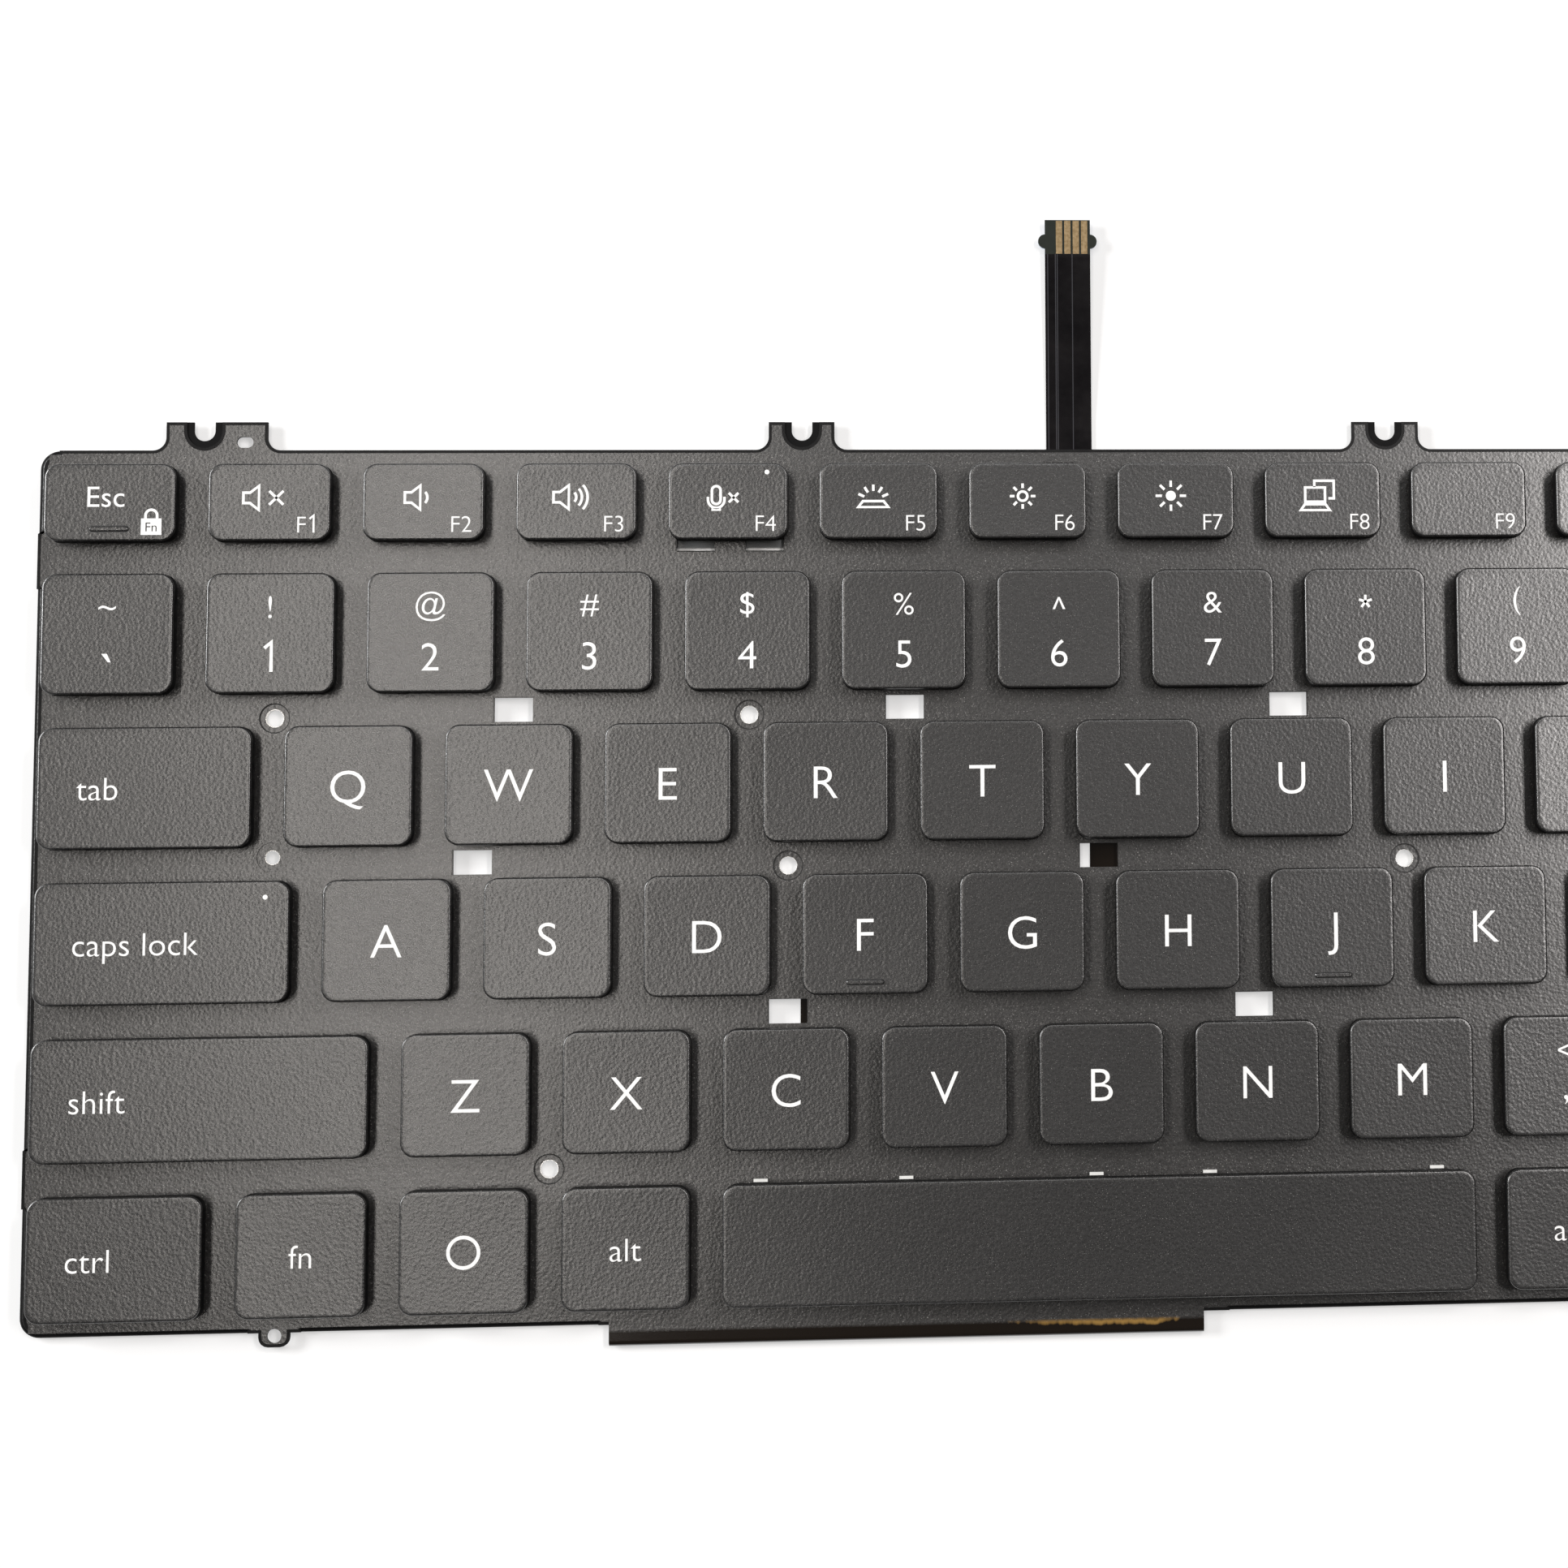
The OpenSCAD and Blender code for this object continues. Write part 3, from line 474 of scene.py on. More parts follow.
def key_over(point):
    """The moving key whose cap covers a point, or none."""
    for name, (low, high) in cap_boxes.items():
        if low[0] < point.x < high[0] and low[1] < point.y < high[1]:
            return name
    return None


for node, piece_name, slot, material in MECHANISM:
    parts = {}
    for points, faces in node_islands(node):
        name = key_over(sum(points, Vector()) / len(points))
        if name not in parts:
            parts[name] = bmesh.new()
        made = [parts[name].verts.new(p) for p in points]
        for face in faces:
            parts[name].faces.new([made[k] for k in face])
    for name, mesh in parts.items():
        piece = finish_piece(piece_name + "_" + (name or "of_fixed_keys"), mesh, "frame",
                             [material])
        if name:
            low, high = cap_boxes[name]
            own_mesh(piece)
        if name in (None, "space"):
            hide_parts(node)


# Legends. They show in white through the black coat of the caps, in plain upright letters:
# signs above digits, words set off to the left on wide keys, small pictures in the top row.
INK_LIFT = 0.000004
LETTER_H = 0.0040
DIGIT_H = 0.0034
SIGN_H = 0.0027
WORD_H = 0.00275
SMALL_H = 0.0020
SIGN_PLACE = 0.287
DIGIT_PLACE = 0.70
LEFT_MARGIN = 0.0044
WIDE_CAP = 0.019
CAP_HEIGHT_PER_SIZE = 0.729
STROKE = 0.00030
THINNING = 0.0115
SIGN_THINNED = 0.00002
DIGIT_THINNED = 0.00003
ACCENT_SCALE = 1.5
STAR_RAY = 0.8
LETTER_STEPS = 5
SHARPEST_CORNER = 0.5
FIGURE_PITCH = 0.62
ONE_FLAG = (-0.17, -0.2)
ONE_STEM = 0.06
ONE_STROKE = 0.115
PLAIN_RING = (1.7, 0.0004)
BAR_SHADE_LINE = (0.04, 0.00012)
ESC_H = 0.0025
ESC_SHIFT = (-0.0004, 0.0007)
ESC_THINNED = 0.00001
LOCK_PLACE = (0.0047, -0.0023)
LOCK_WORD_H = 0.0011
LOCK_WORD_DROP = 0.00285
FUNCTION_PLACE = (0.0043, -0.0026)
PICTURE_PLACE = (-0.0006, 0.00045)
LONG_WORD = 5
white_ink = moulded("white_legend", (0.78, 0.78, 0.77), (0.90, 0.90, 0.89), 2500.0, (0.5, 0.65))
black_print_and_shade = moulded("black_legend_and_shade", (0.02, 0.02, 0.02), (0.03, 0.03, 0.03), 2500.0, (0.5, 0.6))


def letters(mesh, text, x, y, z, height, align="CENTER", by_box=False, thin=None, ink=0):
    """Adds flat lettering: the base line lies half the height under y, or the box round y."""
    curve = bpy.data.curves.new("lettering", "FONT")
    curve.body = text
    curve.size = height / CAP_HEIGHT_PER_SIZE
    curve.fill_mode = "FRONT"
    curve.resolution_u = LETTER_STEPS
    curve.offset = -(height * THINNING if thin is None else thin)
    holder = bpy.data.objects.new("lettering", curve)
    bpy.context.scene.collection.objects.link(holder)
    bpy.context.view_layer.update()
    flat = holder.to_mesh()
    xs = [v.co.x for v in flat.vertices]
    ys = [v.co.y for v in flat.vertices]
    shift_x = x - (min(xs) if align == "LEFT" else (min(xs) + max(xs)) / 2)
    shift_y = y - ((min(ys) + max(ys)) / 2 if by_box else height / 2)
    made = [mesh.verts.new((v.co.x + shift_x, v.co.y + shift_y, z)) for v in flat.vertices]
    for face in flat.polygons:
        mesh.faces.new([made[k] for k in face.vertices]).material_index = ink
    holder.to_mesh_clear()
    bpy.data.objects.remove(holder)
    bpy.data.curves.remove(curve)


def stroke(mesh, points, closed=False, width=STROKE, ink=0):
    """Adds a flat line of one width along points, with mitred corners."""
    points = [Vector(p) for p in points]
    count = len(points)
    left, right = [], []
    for k, point in enumerate(points):
        before = points[k - 1] if closed or k > 0 else point
        after = points[(k + 1) % count] if closed or k < count - 1 else point
        a = (point - before).to_2d().normalized() if before != point else None
        b = (after - point).to_2d().normalized() if after != point else None
        direction = ((a or b) + (b or a)).normalized()
        spread = 1.0 / max(direction.dot(a or b), SHARPEST_CORNER)
        side = Vector((-direction.y, direction.x, 0)) * (width / 2 * spread)
        left.append(mesh.verts.new(point + side))
        right.append(mesh.verts.new(point - side))
    for k in range(count if closed else count - 1):
        j = (k + 1) % count
        mesh.faces.new((right[k], right[j], left[j], left[k])).material_index = ink


def arc(x, y, radius, start, end, steps=12):
    return [(x + radius * math.cos(math.radians(start + (end - start) * k / steps)),
             y + radius * math.sin(math.radians(start + (end - start) * k / steps)))
            for k in range(steps + 1)]


def one(mesh, x, y, z, height):
    """Draws a 1 with its flag."""
    foot, top, stem = y - height / 2, y + height / 2, x + ONE_STEM * height
    stroke(mesh, [(x + ONE_FLAG[0] * height, top + ONE_FLAG[1] * height, z), (stem, top, z),
                  (stem, foot, z)], width=height * ONE_STROKE)


def write(mesh, text, x, y, z, height):
    """Writes a short label figure by figure, so that each 1 can have its flag."""
    pitch = height * FIGURE_PITCH
    start = x - pitch * (len(text) - 1) / 2
    for k, sign in enumerate(text):
        if sign == "1":
            one(mesh, start + k * pitch, y, z, height)
        else:
            letters(mesh, sign, start + k * pitch, y, z, height, thin=DIGIT_THINNED)


class Drawing:
    """Draws a small picture in millimetres round one point of a cap."""

    def __init__(self, mesh, x, y, z):
        self.mesh, self.x, self.y, self.z = mesh, x, y, z

    def place(self, points):
        return [(self.x + px / 1000, self.y + py / 1000, self.z) for px, py in points]

    def line(self, points, closed=False, width=STROKE, ink=0):
        stroke(self.mesh, self.place(points), closed, width, ink)

    def fill(self, points):
        self.mesh.faces.new([self.mesh.verts.new(p) for p in self.place(points)])

    def loudspeaker(self, x):
        self.line([(x, -0.6), (x, 0.6), (x + 0.75, 0.6), (x + 1.75, 1.4),
                   (x + 1.75, -1.4), (x + 0.75, -0.6)], closed=True)

    def cross(self, x, y, reach):
        self.line([(x - reach, y - reach), (x + reach, y + reach)])
        self.line([(x - reach, y + reach), (x + reach, y - reach)])

    def rays(self, count, near, far, start=0.0, turn=360.0):
        for k in range(count):
            angle = math.radians(start + turn * k / count)
            self.line([(near * math.cos(angle), near * math.sin(angle)),
                       (far * math.cos(angle), far * math.sin(angle))])


def sound_off(draw):
    draw.loudspeaker(-2.3)
    draw.cross(1.4, 0.0, 0.8)


def sound_down(draw):
    draw.loudspeaker(-1.5)
    draw.line(arc(0.1, 0, 0.95, -42, 42))


def sound_up(draw):
    draw.loudspeaker(-2.0)
    for radius in (0.8, 1.45, 2.1):
        draw.line(arc(-0.2, 0, radius, -42, 42))


def microphone_off(draw):
    draw.line(arc(-0.75, 0.75, 0.5, 0, 180) + arc(-0.75, -0.35, 0.5, 180, 360), closed=True)
    draw.line([(-1.7, 0.0)] + arc(-0.75, -0.35, 0.95, 180, 360) + [(0.2, 0.0)])
    draw.line([(-1.3, -1.5), (-0.2, -1.5)])
    draw.cross(1.25, -0.1, 0.55)


def key_light(draw):
    draw.line([(-1.2, -0.55), (1.2, -0.55), (1.75, -1.25), (-1.75, -1.25)], closed=True)
    for angle in (25, 57.5, 90, 122.5, 155):
        c, s = math.cos(math.radians(angle)), math.sin(math.radians(angle))
        draw.line([(1.15 * c, 1.15 * s - 0.5), (1.9 * c, 1.9 * s - 0.5)])


def screen_darker(draw):
    draw.line(arc(0, 0, 0.55, 0, 345, 23), closed=True)
    draw.rays(8, 0.95, 1.5)


def screen_brighter(draw):
    draw.fill(arc(0, 0, 0.6, 0, 345, 23))
    draw.rays(8, 1.05, 1.8)


def two_screens(draw):
    draw.line([(-0.4, 1.0), (-0.4, 1.75), (1.9, 1.75), (1.9, -0.35), (1.25, -0.35)])
    draw.line([(-1.5, -0.75), (-1.5, 0.95), (0.85, 0.95), (0.85, -0.75)], closed=True)
    draw.line([(-1.55, -1.05), (0.9, -1.05), (1.4, -1.75), (-2.05, -1.75)], closed=True)


def padlock(draw):
    draw.fill([(-1.15, -1.5), (1.15, -1.5), (1.15, 0.4), (-1.15, 0.4)])
    draw.line([(-0.65, 0.4)] + arc(0, 0.75, 0.65, 180, 0) + [(0.65, 0.4)])


def plain_ring(draw):
    radius, width = PLAIN_RING
    draw.line(arc(0, 0, radius, 0, 350, 35), closed=True, width=width)


def arrow(draw, turn):
    c, s = math.cos(math.radians(turn)), math.sin(math.radians(turn))
    draw.fill([(c * px - s * py, s * px + c * py)
               for px, py in ((-0.6, -0.8), (0.8, 0.0), (-0.6, 0.8))])


def bar_foot_shade(draw):
    """A fine black line round a raised bar: painted shade at its foot."""
    reach, end = RAISED_BAR[0] * 500, RAISED_BAR[1] * 500 + BAR_SHADE_LINE[0]
    draw.line(arc(reach - end, 0, end, -90, 90) + arc(end - reach, 0, end, 90, 270),
              closed=True, width=BAR_SHADE_LINE[1], ink=1)


PICTURES = {"F1": sound_off, "F2": sound_down, "F3": sound_up, "F4": microphone_off,
            "F5": key_light, "F6": screen_darker, "F7": screen_brighter, "F8": two_screens}
ARROWS = {"up": 90, "left": 180, "down": 270, "right": 0}
MOVING_LEGENDS = {
    "grave": ("~", "`"), "1": ("!", "1"), "2": ("@", "2"), "3": ("#", "3"), "4": ("$", "4"),
    "5": ("%", "5"), "6": ("^", "6"), "7": ("&", "7"), "8": ("*", "8"), "9": ("(", "9"),
    "caps_lock": "caps lock", "left_shift": "shift", "left_ctrl": "ctrl", "left_alt": "alt",
    "esc": "Esc", "system": "ring", "space": ""}
FUNCTION_LEGENDS = ["F%d" % k for k in range(1, 13)] + ["insert", "delete"]
RIGHT_LEGENDS = [
    (")", "0"), ("_", "-"), ("+", "="), "backspace", "O", "P", ("{", "["), ("}", "]"),
    ("|", "\\"), "L", (":", ";"), ('"', "'"), "enter", ("<", ","), (">", "."), ("?", "/"),
    "shift", "pg up", "up", "pg dn", "alt", "ctrl", "left", "down", "right"]


def legend(mesh, low, high, mark):
    """Draws what one cap carries."""
    x, y = (low[0] + high[0]) / 2, (low[1] + high[1]) / 2
    z = high[2] + INK_LIFT
    depth = high[1] - low[1]
    draw = Drawing(mesh, x, y, z)
    if isinstance(mark, tuple):
        sign, digit = mark
        sign_y, digit_y = high[1] - SIGN_PLACE * depth, high[1] - DIGIT_PLACE * depth
        if sign == "*":
            Drawing(mesh, x, sign_y, z).rays(5, 0.0, STAR_RAY, start=90.0)
        else:
            letters(mesh, sign, x, sign_y, z, SIGN_H, by_box=True, thin=SIGN_THINNED)
        if digit == "1":
            one(mesh, x, digit_y, z, DIGIT_H)
        else:
            letters(mesh, digit, x, digit_y, z, DIGIT_H * (ACCENT_SCALE if digit == "`" else 1.0),
                    by_box=not digit.isalnum(), thin=DIGIT_THINNED)
    elif mark == "Esc":
        letters(mesh, mark, x + ESC_SHIFT[0], y + ESC_SHIFT[1], z, ESC_H, thin=ESC_THINNED)
        padlock(Drawing(mesh, x + LOCK_PLACE[0], y + LOCK_PLACE[1], z))
        letters(mesh, "Fn", x + LOCK_PLACE[0], y - LOCK_WORD_DROP, z + INK_LIFT, LOCK_WORD_H,
                thin=0.0, ink=1)
    elif mark == "ring":
        plain_ring(draw)
    elif mark in ARROWS:
        arrow(draw, ARROWS[mark])
    elif mark[:1] == "F" and len(mark) > 1:
        write(mesh, mark, x + FUNCTION_PLACE[0], y + FUNCTION_PLACE[1], z, SMALL_H)
        if mark in PICTURES:
            PICTURES[mark](Drawing(mesh, x + PICTURE_PLACE[0], y + PICTURE_PLACE[1], z))
    elif len(mark) == 1:
        letters(mesh, mark, x, y, z, LETTER_H)
    elif mark and high[0] - low[0] > WIDE_CAP:
        letters(mesh, mark, low[0] + LEFT_MARGIN, y, z, WORD_H, align="LEFT")
    elif mark:
        letters(mesh, mark, x, y, z, WORD_H if len(mark) < LONG_WORD else SMALL_H)


for node in key_nodes:
    name = node.removeprefix("key_")
    mark = MOVING_LEGENDS.get(name, name.upper() if len(name) == 1 else name)
    if not mark:
        continue
    mesh = bmesh.new()
    low, high = cap_boxes[name]
    legend(mesh, low, high, mark)
    # Painted shade: a black line is drawn round the raised bar's foot.
    if name in BAR_KEYS:
        bar_foot_shade(Drawing(mesh, (low[0] + high[0]) / 2, low[1] + BAR_INSET,
                           high[2] + INK_LIFT))
    finish_piece("legend_" + name, mesh, node, [white_ink, black_print_and_shade])

for group, marks in (("function_row_caps", FUNCTION_LEGENDS), ("right_side_caps", RIGHT_LEGENDS)):
    mesh = bmesh.new()
    for (low, high), mark in zip(fixed_boxes[group], marks):
        legend(mesh, low, high, mark)
    finish_piece(group + "_legends", mesh, "frame", [white_ink, black_print_and_shade])


# Plate. One steel sheet, stamped, bent down along its edges and painted with the grained coat.
# The bends are duller and painted near black, and a near-black strip runs along the edge all the
# way round: both are painted shade of the bend.
PAINTED_SHADE_DEPTHS = (0.00003, 0.00001)
SHEET_T = 0.0002
RIM_WIDTH = 0.00036
RIM_LIFT = 0.000006
RIM_SHEEN = 0.15
FACES_UP = 0.99
SAME_LEVEL = 1e-5
SAME_POINT = 1e-6
MITRE_LIMIT = 0.7


def give_finish(node, material):
    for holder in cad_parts[node].material_slots:
        holder.material = material


plate_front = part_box("light_mask")[0][1]
plate_top_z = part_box("membrane")[1][2] - SHEET_T
plate_paint = lacquer("plate_paint", dark=(0.0085, 0.0081, 0.0078), light=(0.0235, 0.0226, 0.0220),
                      roughness=0.29, grain_size=0.00034, grain_depth=0.000024,
                      sparkle=(0.22, 0.21, 0.2))
# Painted shade: the bends below the plate's top are painted near black.
paint_shade_below(plate_paint, low=plate_top_z - PAINTED_SHADE_DEPTHS[0], high=plate_top_z - PAINTED_SHADE_DEPTHS[1],
           dark=(0.0030, 0.0030, 0.0032), light=(0.0060, 0.0058, 0.0060),
           rough=(0.5, 0.65), sheen=0.08)
give_finish("base_plate", plate_paint)


def outer_outline(node, level):
    """The outline of a node's upward faces at one height, anticlockwise."""
    mesh = bmesh.new()
    mesh.from_mesh(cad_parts[node].data)
    bmesh.ops.remove_doubles(mesh, verts=mesh.verts, dist=WELD)
    top = {f.index for f in mesh.faces
           if f.normal.z > FACES_UP and abs(f.calc_center_median().z - level) < SAME_LEVEL}
    following = {}
    for face in mesh.faces:
        if face.index in top:
            for corner in face.loops:
                if sum(f.index in top for f in corner.edge.link_faces) == 1:
                    following[corner.vert] = corner.link_loop_next.vert
    first = min(following, key=lambda v: v.co.x)
    outline = [first.co.to_2d()]
    vertex = following[first]
    while vertex is not first:
        if (vertex.co.to_2d() - outline[-1]).length > SAME_POINT:
            outline.append(vertex.co.to_2d())
        vertex = following[vertex]
    mesh.free()
    return outline


outline = outer_outline("base_plate", plate_top_z)
mesh = bmesh.new()
outer, inner = [], []
for k, point in enumerate(outline):
    along = (point - outline[k - 1]).normalized()
    ahead = (outline[(k + 1) % len(outline)] - point).normalized()
    direction = (along + ahead).normalized()
    spread = 1.0 / max(direction.dot(along), MITRE_LIMIT)
    inwards = Vector((-direction.y, direction.x)) * (RIM_WIDTH * spread)
    outer.append(mesh.verts.new((point.x, point.y, plate_top_z + RIM_LIFT)))
    inner.append(mesh.verts.new((point.x + inwards.x, point.y + inwards.y, plate_top_z + RIM_LIFT)))
bridge(mesh, outer, inner)
# Painted shade: the strip along the edge is near black to stand for the shade of the bend.
edge_shade_strip = moulded("edge_shade_strip", (0.0030, 0.0030, 0.0034), (0.0070, 0.0068, 0.0070), 1200.0,
                      (0.34, 0.46))
rim_shader = edge_shade_strip.node_tree.nodes["Principled BSDF"]
rim_shader.inputs["Specular IOR Level"].default_value = RIM_SHEEN
finish_piece("plate_rim", mesh, "frame", [edge_shade_strip])


# Top sheet. The switch membrane, a printed film with the same grained coat on top, lies on the
# plate. Where it folds round the front edge it is bare, glossy brown film; along part of the fold,
# short streaks are painted gold and metallic, which is a painted highlight.
FILM_ROUGHNESS = 0.12
FILM_COAT = 0.6
FILM_COAT_ROUGHNESS = 0.06
FILM_BROWN = (0.009, 0.006, 0.004)
PAINTED_HIGHLIGHT_GOLD = (1.0, 0.58, 0.16)
FILM_FROM = (0.0012, 0.0016)
FILM_BELOW = 0.0001
STREAK_SCALE = (900.0, 140.0, 140.0)
STREAKS_SHOW = (0.15, 0.5)
GLEAM_METAL = 0.9
GLEAM_LEFT = (-0.027, -0.006)
GLEAM_RIGHT = (-0.003, 0.0015)
GLEAM_FRONT = (0.0024, 0.0014)
GLEAM_BACK = (0.0010, 0.0006)
GLEAM_ABOVE = (0.0004, 0.0007)
top_sheet = lacquer("coated_membrane", dark=(0.0100, 0.0094, 0.0090),
                    light=(0.0270, 0.0255, 0.0245), roughness=0.29, grain_size=0.00034,
                    grain_depth=0.000026, sparkle=(0.45, 0.44, 0.42))
nodes, links = top_sheet.node_tree.nodes, top_sheet.node_tree.links
film = nodes.new("ShaderNodeBsdfPrincipled")
film.inputs["Roughness"].default_value = FILM_ROUGHNESS
film.inputs["Coat Weight"].default_value = FILM_COAT
film.inputs["Coat Roughness"].default_value = FILM_COAT_ROUGHNESS
place = nodes.new("ShaderNodeTexCoord").outputs["Object"]
split = nodes.new("ShaderNodeSeparateXYZ")
links.new(place, split.inputs["Vector"])
along, back, up = split.outputs["X"], split.outputs["Y"], split.outputs["Z"]
before_plate = map_range(nodes, links, back, plate_front - FILM_FROM[0],
                         plate_front - FILM_FROM[1], 0.0, 1.0)
under_plate = map_range(nodes, links, up, plate_top_z, plate_top_z - FILM_BELOW, 0.0, 1.0)
bare_film = calculate(nodes, links, "MAXIMUM", before_plate, under_plate)
# Painted highlight: short gold, metallic streaks along part of the fold.
streak_room = nodes.new("ShaderNodeMapping")
streak_room.inputs["Scale"].default_value = STREAK_SCALE
links.new(place, streak_room.inputs["Vector"])
gleam = add_noise(nodes, links, streak_room.outputs["Vector"], 1.0, 3.0)
for factor in (map_range(nodes, links, along, *GLEAM_LEFT, 0.0, 1.0),
               map_range(nodes, links, along, *GLEAM_RIGHT, 1.0, 0.0),
               map_range(nodes, links, back, plate_front - GLEAM_FRONT[0],
                         plate_front - GLEAM_FRONT[1], 0.0, 1.0),
               map_range(nodes, links, back, plate_front - GLEAM_BACK[0],
                         plate_front - GLEAM_BACK[1], 1.0, 0.0),
               map_range(nodes, links, up, *GLEAM_ABOVE, 0.0, 1.0)):
    gleam = calculate(nodes, links, "MULTIPLY", gleam, factor)
painted_highlight = map_range(nodes, links, gleam, *STREAKS_SHOW, 0.0, 1.0)
links.new(mix_colours(nodes, links, painted_highlight, FILM_BROWN, PAINTED_HIGHLIGHT_GOLD), film.inputs["Base Color"])
links.new(map_range(nodes, links, gleam, *STREAKS_SHOW, 0.0, GLEAM_METAL), film.inputs["Metallic"])
blend_shaders(nodes, links, bare_film, nodes["Principled BSDF"], film)
give_finish("membrane", top_sheet)


# Screw holes. Each is lined with bright bare metal, which shows on the wall of the hole. The
# sheet stops short of the screw holes, and a thin near-black ring along its edge there is painted
# shade of that step.
SCREW_HOLES = ((-0.10378, 0.01918), (-0.04963, 0.01918), (-0.04512, 0.00158), (0.02707, 0.00158),
               (-0.07220, -0.03273), (0.07671, 0.01918), (0.08122, -0.01543))
PIN_HOLE = (-0.10378, 0.00318)
HOLE_RADIUS = 0.00105
PIN_HOLE_RADIUS = 0.00084
PLATE_T = 0.0004
LINING_WALL = 0.00004
LINING_SPARE = 0.00008
SHEET_HOLE_RADIUS = 0.00174
SHADE_RING_WALL = 0.00012
SHADE_RING_HEIGHT = 0.0001
RING_STEPS = 48


def lining_tree(material):
    """A thin tube at every point, with its radius, wall and height as inputs."""
    tree = bpy.data.node_groups.new("hole_lining", "GeometryNodeTree")
    tree.interface.new_socket("Points", in_out="INPUT", socket_type="NodeSocketGeometry")
    for label in ("Radius", "Wall", "Height"):
        tree.interface.new_socket(label, in_out="INPUT", socket_type="NodeSocketFloat")
    tree.interface.new_socket("Tubes", in_out="OUTPUT", socket_type="NodeSocketGeometry")
    nodes, links = tree.nodes, tree.links
    inputs = nodes.new("NodeGroupInput")
    outputs = nodes.new("NodeGroupOutput")
    section = nodes.new("GeometryNodeCurvePrimitiveQuadrilateral")
    links.new(inputs.outputs["Wall"], section.inputs["Width"])
    links.new(inputs.outputs["Height"], section.inputs["Height"])
    ring = nodes.new("GeometryNodeCurvePrimitiveCircle")
    ring.inputs["Resolution"].default_value = RING_STEPS
    links.new(inputs.outputs["Radius"], ring.inputs["Radius"])
    sweep = nodes.new("GeometryNodeCurveToMesh")
    links.new(ring.outputs["Curve"], sweep.inputs["Curve"])
    links.new(section.outputs["Curve"], sweep.inputs["Profile Curve"])
    copies = nodes.new("GeometryNodeInstanceOnPoints")
    links.new(inputs.outputs["Points"], copies.inputs["Points"])
    links.new(sweep.outputs["Mesh"], copies.inputs["Instance"])
    real = nodes.new("GeometryNodeRealizeInstances")
    links.new(copies.outputs["Instances"], real.inputs["Geometry"])
    paint = nodes.new("GeometryNodeSetMaterial")
    paint.inputs["Material"].default_value = material
    links.new(real.outputs["Geometry"], paint.inputs["Geometry"])
    links.new(paint.outputs["Geometry"], outputs.inputs["Tubes"])
    return tree


def grow(name, points, tree, settings):
    """Runs a tree on a few points and returns the plain mesh that it makes."""
    seed = bpy.data.meshes.new(name)
    seed.from_pydata(points, [], [])
    holder = bpy.data.objects.new(name + "_points", seed)
    bpy.context.scene.collection.objects.link(holder)
    modifier = holder.modifiers.new("nodes", "NODES")
    modifier.node_group = tree
    for item in tree.interface.items_tree:
        if item.in_out == "INPUT" and item.name in settings:
            modifier[item.identifier] = settings[item.name]
    bpy.context.view_layer.update()
    grown = holder.evaluated_get(bpy.context.evaluated_depsgraph_get())
    made = bpy.data.meshes.new_from_object(grown)
    made.name = name
    holder.modifiers.clear()
    bpy.data.objects.remove(holder)
    made.shade_smooth()
    made.set_sharp_from_angle(angle=math.radians(CREASE))
    piece = bpy.data.objects.new(name, made)
    bpy.context.scene.collection.objects.link(piece)
    return piece


bare_metal = moulded("bare_metal", (0.62, 0.61, 0.59), (0.78, 0.77, 0.75), 1800.0, (0.18, 0.34),
                     metallic=1.0)
lining = lining_tree(bare_metal)
for label, places, radius, depth in (
        ("screw_hole_linings", SCREW_HOLES, HOLE_RADIUS, plate_top_z - LINING_SPARE),
        ("pin_hole_lining", (PIN_HOLE,), PIN_HOLE_RADIUS, PLATE_T - LINING_SPARE)):
    middle = plate_top_z - LINING_SPARE / 2 - depth / 2
    tubes = grow(label, [(x, y, middle) for x, y in places], lining,
                 {"Radius": radius - LINING_WALL / 2, "Wall": LINING_WALL, "Height": depth})
    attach(tubes, "frame")
# Painted shade: a near-black ring along the sheet's edge round each screw hole.
step_shade = moulded("step_shade", (0.0030, 0.0030, 0.0030), (0.0060, 0.0060, 0.0060), 1500.0,
                  (0.5, 0.65))
shade_rings = grow("screw_hole_shade_rings", [(x, y, plate_top_z + SHADE_RING_HEIGHT / 2) for x, y in SCREW_HOLES],
             lining_tree(step_shade), {"Radius": SHEET_HOLE_RADIUS - SHADE_RING_WALL / 2,
                                    "Wall": SHADE_RING_WALL, "Height": SHADE_RING_HEIGHT})
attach(shade_rings, "frame")


# Backlight. Under the plate lie a black mask, a clear light guide, a white reflector and a
# black back film; eight small diodes shine into the guide from a strip of flexible circuit.
GUIDE_CLEAR = 0.85
GUIDE_IOR = 1.49
BACKLIGHT_FINISHES = (
    # node, finish, darkest and lightest colour, scale of its clouds, roughness
    ("light_mask", "mask_film", (0.012, 0.012, 0.012), (0.020, 0.020, 0.020), 400.0, (0.35, 0.5)),
    ("reflector", "reflector_film", (0.80, 0.80, 0.79), (0.90, 0.90, 0.89), 900.0, (0.35, 0.5)),
    ("back_film", "back_film", (0.016, 0.016, 0.017), (0.030, 0.030, 0.031), 260.0, (0.38, 0.55)),
    ("light_guide", "clear_guide", (0.80, 0.84, 0.85), (0.88, 0.90, 0.90), 500.0, (0.12, 0.22)),
    ("backlight_leds", "diode", (0.80, 0.74, 0.42), (0.90, 0.86, 0.60), 2500.0, (0.3, 0.45)),
    ("tail_stiffener", "stiffener", (0.05, 0.16, 0.30), (0.07, 0.20, 0.36), 600.0, (0.35, 0.5)),
    ("membrane_stiffener", "membrane_stiffener", (0.05, 0.16, 0.30), (0.07, 0.20, 0.36), 600.0,
     (0.35, 0.5)))
for node, finish, dark, light, scale, rough in BACKLIGHT_FINISHES:
    give_finish(node, moulded(finish, dark, light, scale, rough))
guide = bpy.data.materials["clear_guide"].node_tree.nodes["Principled BSDF"]
guide.inputs["Transmission Weight"].default_value = GUIDE_CLEAR
guide.inputs["IOR"].default_value = GUIDE_IOR
give_finish("stabiliser_clips", acetal)


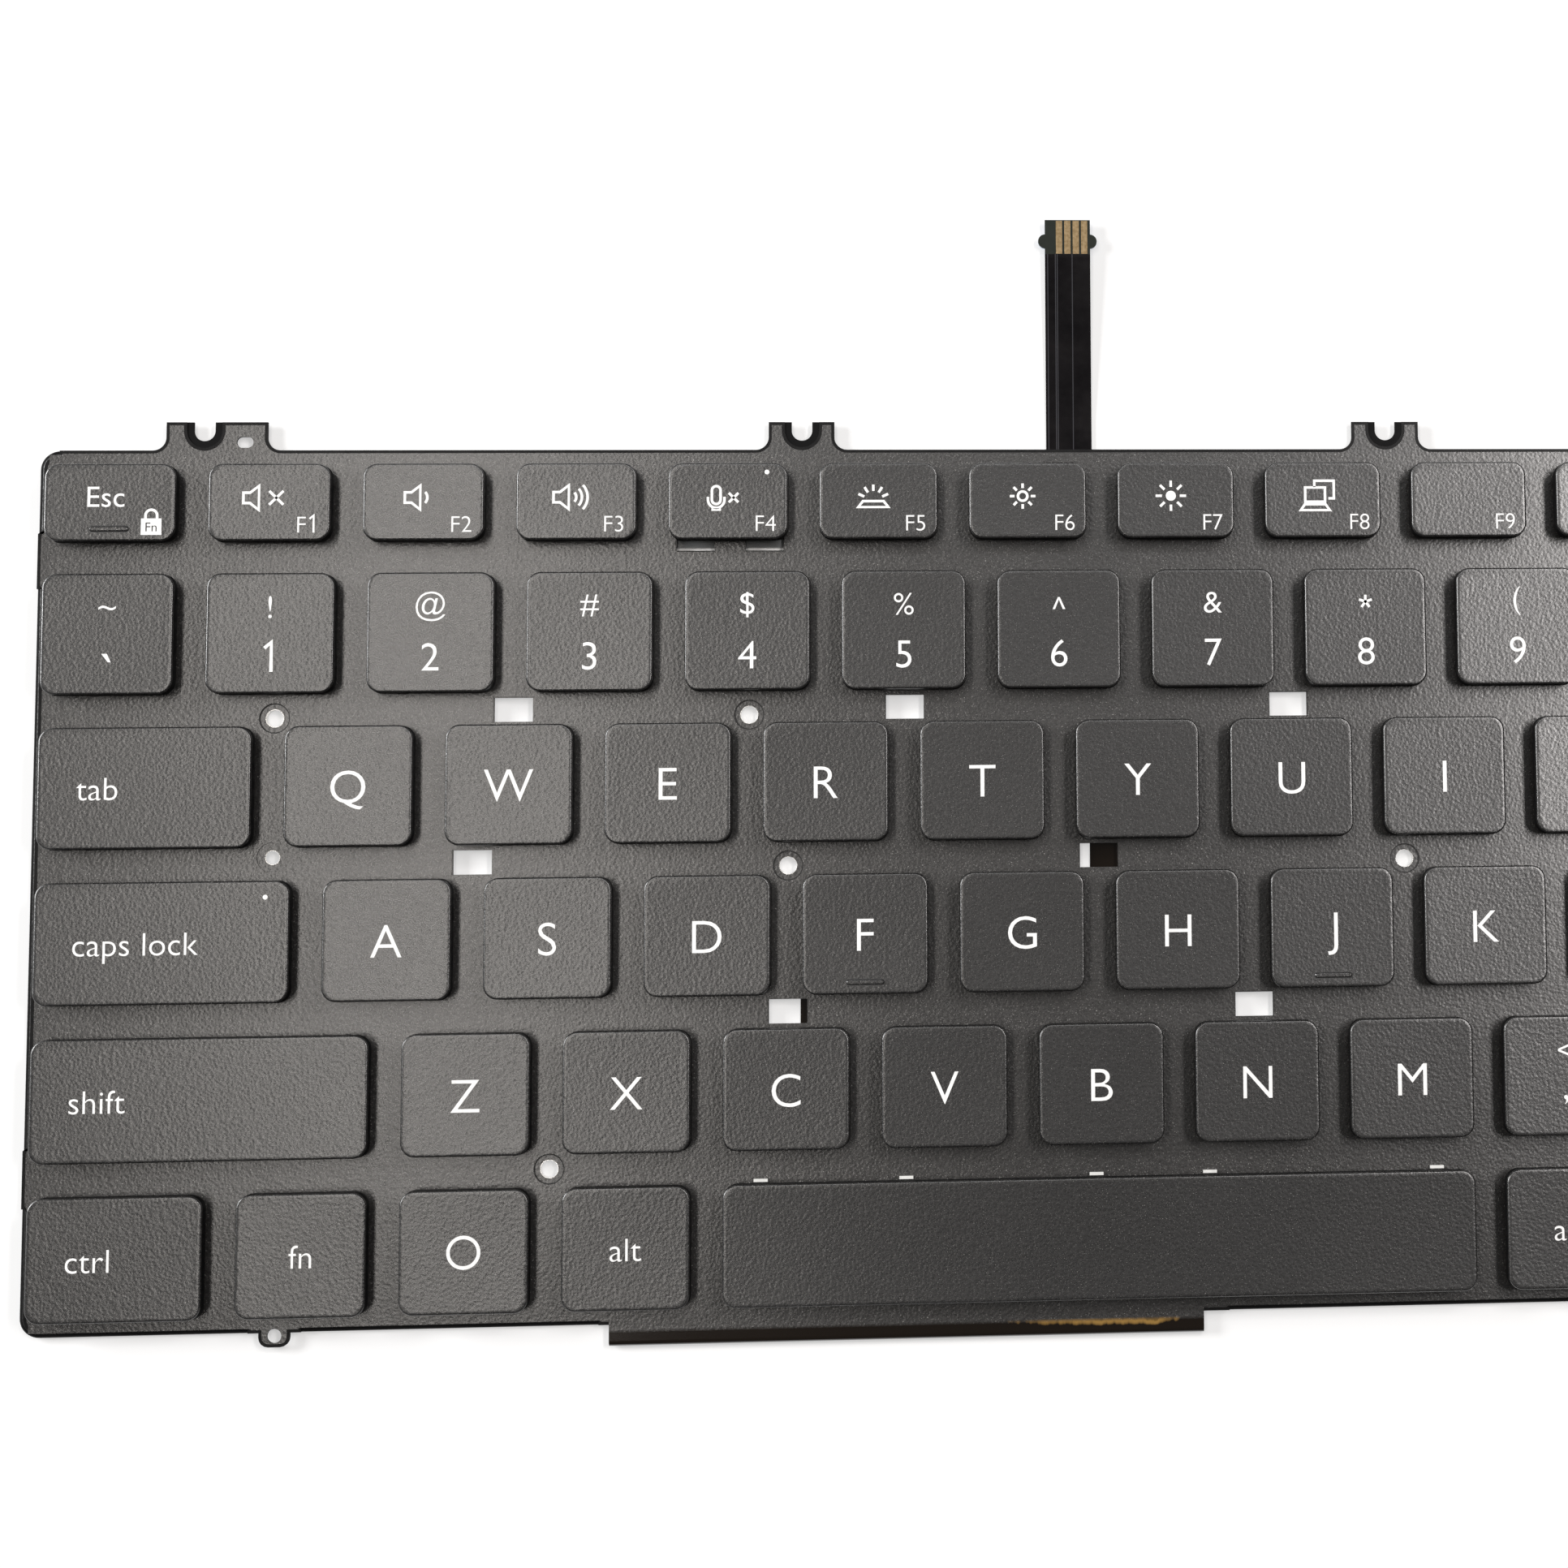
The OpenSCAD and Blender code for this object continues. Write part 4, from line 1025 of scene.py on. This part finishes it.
# Tail of the backlight. Black glossy flexible circuit with a few fine conductors showing as
# lighter lines along it; its head, round the contacts, is bare and a little greener.
TAIL_X = -0.0121
TAIL_W = 0.0054
TAIL_SHEEN = 0.22
CONDUCTORS = (0.06, 0.23, 0.27, 0.60)
CONDUCTOR_EDGE = (0.00002, 0.00007)
CONDUCTOR_SHOWS = 0.55
CONDUCTOR_GREY = (0.09, 0.09, 0.10)
HEAD_LENGTH = 0.0042
HEAD_GREEN = (0.020, 0.023, 0.019)
HEAD_EDGE = 0.0001
flex_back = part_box("backlight_flex")[1][1]
tail_finish = moulded("flex_coverlay", (0.0035, 0.0030, 0.0035), (0.008, 0.007, 0.0075), 180.0,
                      (0.17, 0.21), grain_depth=0.000004)
nodes, links = tail_finish.node_tree.nodes, tail_finish.node_tree.links
coverlay = nodes["Principled BSDF"]
coverlay.inputs["Specular IOR Level"].default_value = TAIL_SHEEN
split = nodes.new("ShaderNodeSeparateXYZ")
links.new(nodes.new("ShaderNodeTexCoord").outputs["Object"], split.inputs["Vector"])
colour = coverlay.inputs["Base Color"].links[0].from_socket
for share in CONDUCTORS:
    middle = TAIL_X - TAIL_W / 2 + share * TAIL_W
    offset = calculate(nodes, links, "SUBTRACT", split.outputs["X"], middle)
    distance = calculate(nodes, links, "ABSOLUTE", offset)
    shows = map_range(nodes, links, distance, *CONDUCTOR_EDGE, CONDUCTOR_SHOWS, 0.0)
    colour = mix_colours(nodes, links, shows, colour, CONDUCTOR_GREY)
head_from = flex_back - HEAD_LENGTH
head = map_range(nodes, links, split.outputs["Y"], head_from, head_from + HEAD_EDGE, 0.0, 1.0)
links.new(mix_colours(nodes, links, head, colour, HEAD_GREEN), coverlay.inputs["Base Color"])
give_finish("backlight_flex", tail_finish)
give_finish("tail_contacts", moulded("gold_contacts", (0.17, 0.12, 0.062), (0.25, 0.185, 0.105),
                                     3000.0, (0.38, 0.55), grain_depth=0.00002, metallic=1.0))


# Lamps in the keys. The caps of caps lock and F4 each have a pin-hole near a corner, filled
# with clear white plastic that stands up in a low round dot and lights up from below.
DOT_RADIUS = 0.00028
DOT_CROWN = 0.00003
DOT_SHOULDER = (0.7, 0.00002)
DOT_STEPS = 24
CAPS_LOCK_DOT = (0.0027, 0.0019)
F4 = 3
F4_DOT = (0.0045, 0.00335)


def lamp_dot(mesh, x, y, z):
    centre = mesh.verts.new((x, y, z + DOT_CROWN))
    rings = []
    for reach, rise in ((DOT_RADIUS, 0.0), (DOT_RADIUS * DOT_SHOULDER[0], DOT_SHOULDER[1])):
        angles = [math.radians(k * 360 / DOT_STEPS) for k in range(DOT_STEPS)]
        rings.append([mesh.verts.new((x + reach * math.cos(a), y + reach * math.sin(a), z + rise))
                      for a in angles])
    for k in range(DOT_STEPS):
        j = (k + 1) % DOT_STEPS
        mesh.faces.new((rings[0][k], rings[0][j], rings[1][j], rings[1][k]))
        mesh.faces.new((rings[1][k], rings[1][j], centre))


low, high = cap_boxes["caps_lock"]
mesh = bmesh.new()
lamp_dot(mesh, high[0] - CAPS_LOCK_DOT[0], high[1] - CAPS_LOCK_DOT[1], high[2] + INK_LIFT)
finish_piece("caps_lock_lamp", mesh, "key_caps_lock", [white_ink])
low, high = fixed_boxes["function_row_caps"][F4]
mesh = bmesh.new()
lamp_dot(mesh, (low[0] + high[0]) / 2 + F4_DOT[0], (low[1] + high[1]) / 2 + F4_DOT[1],
         high[2] + INK_LIFT)
finish_piece("f4_lamp", mesh, "frame", [white_ink])
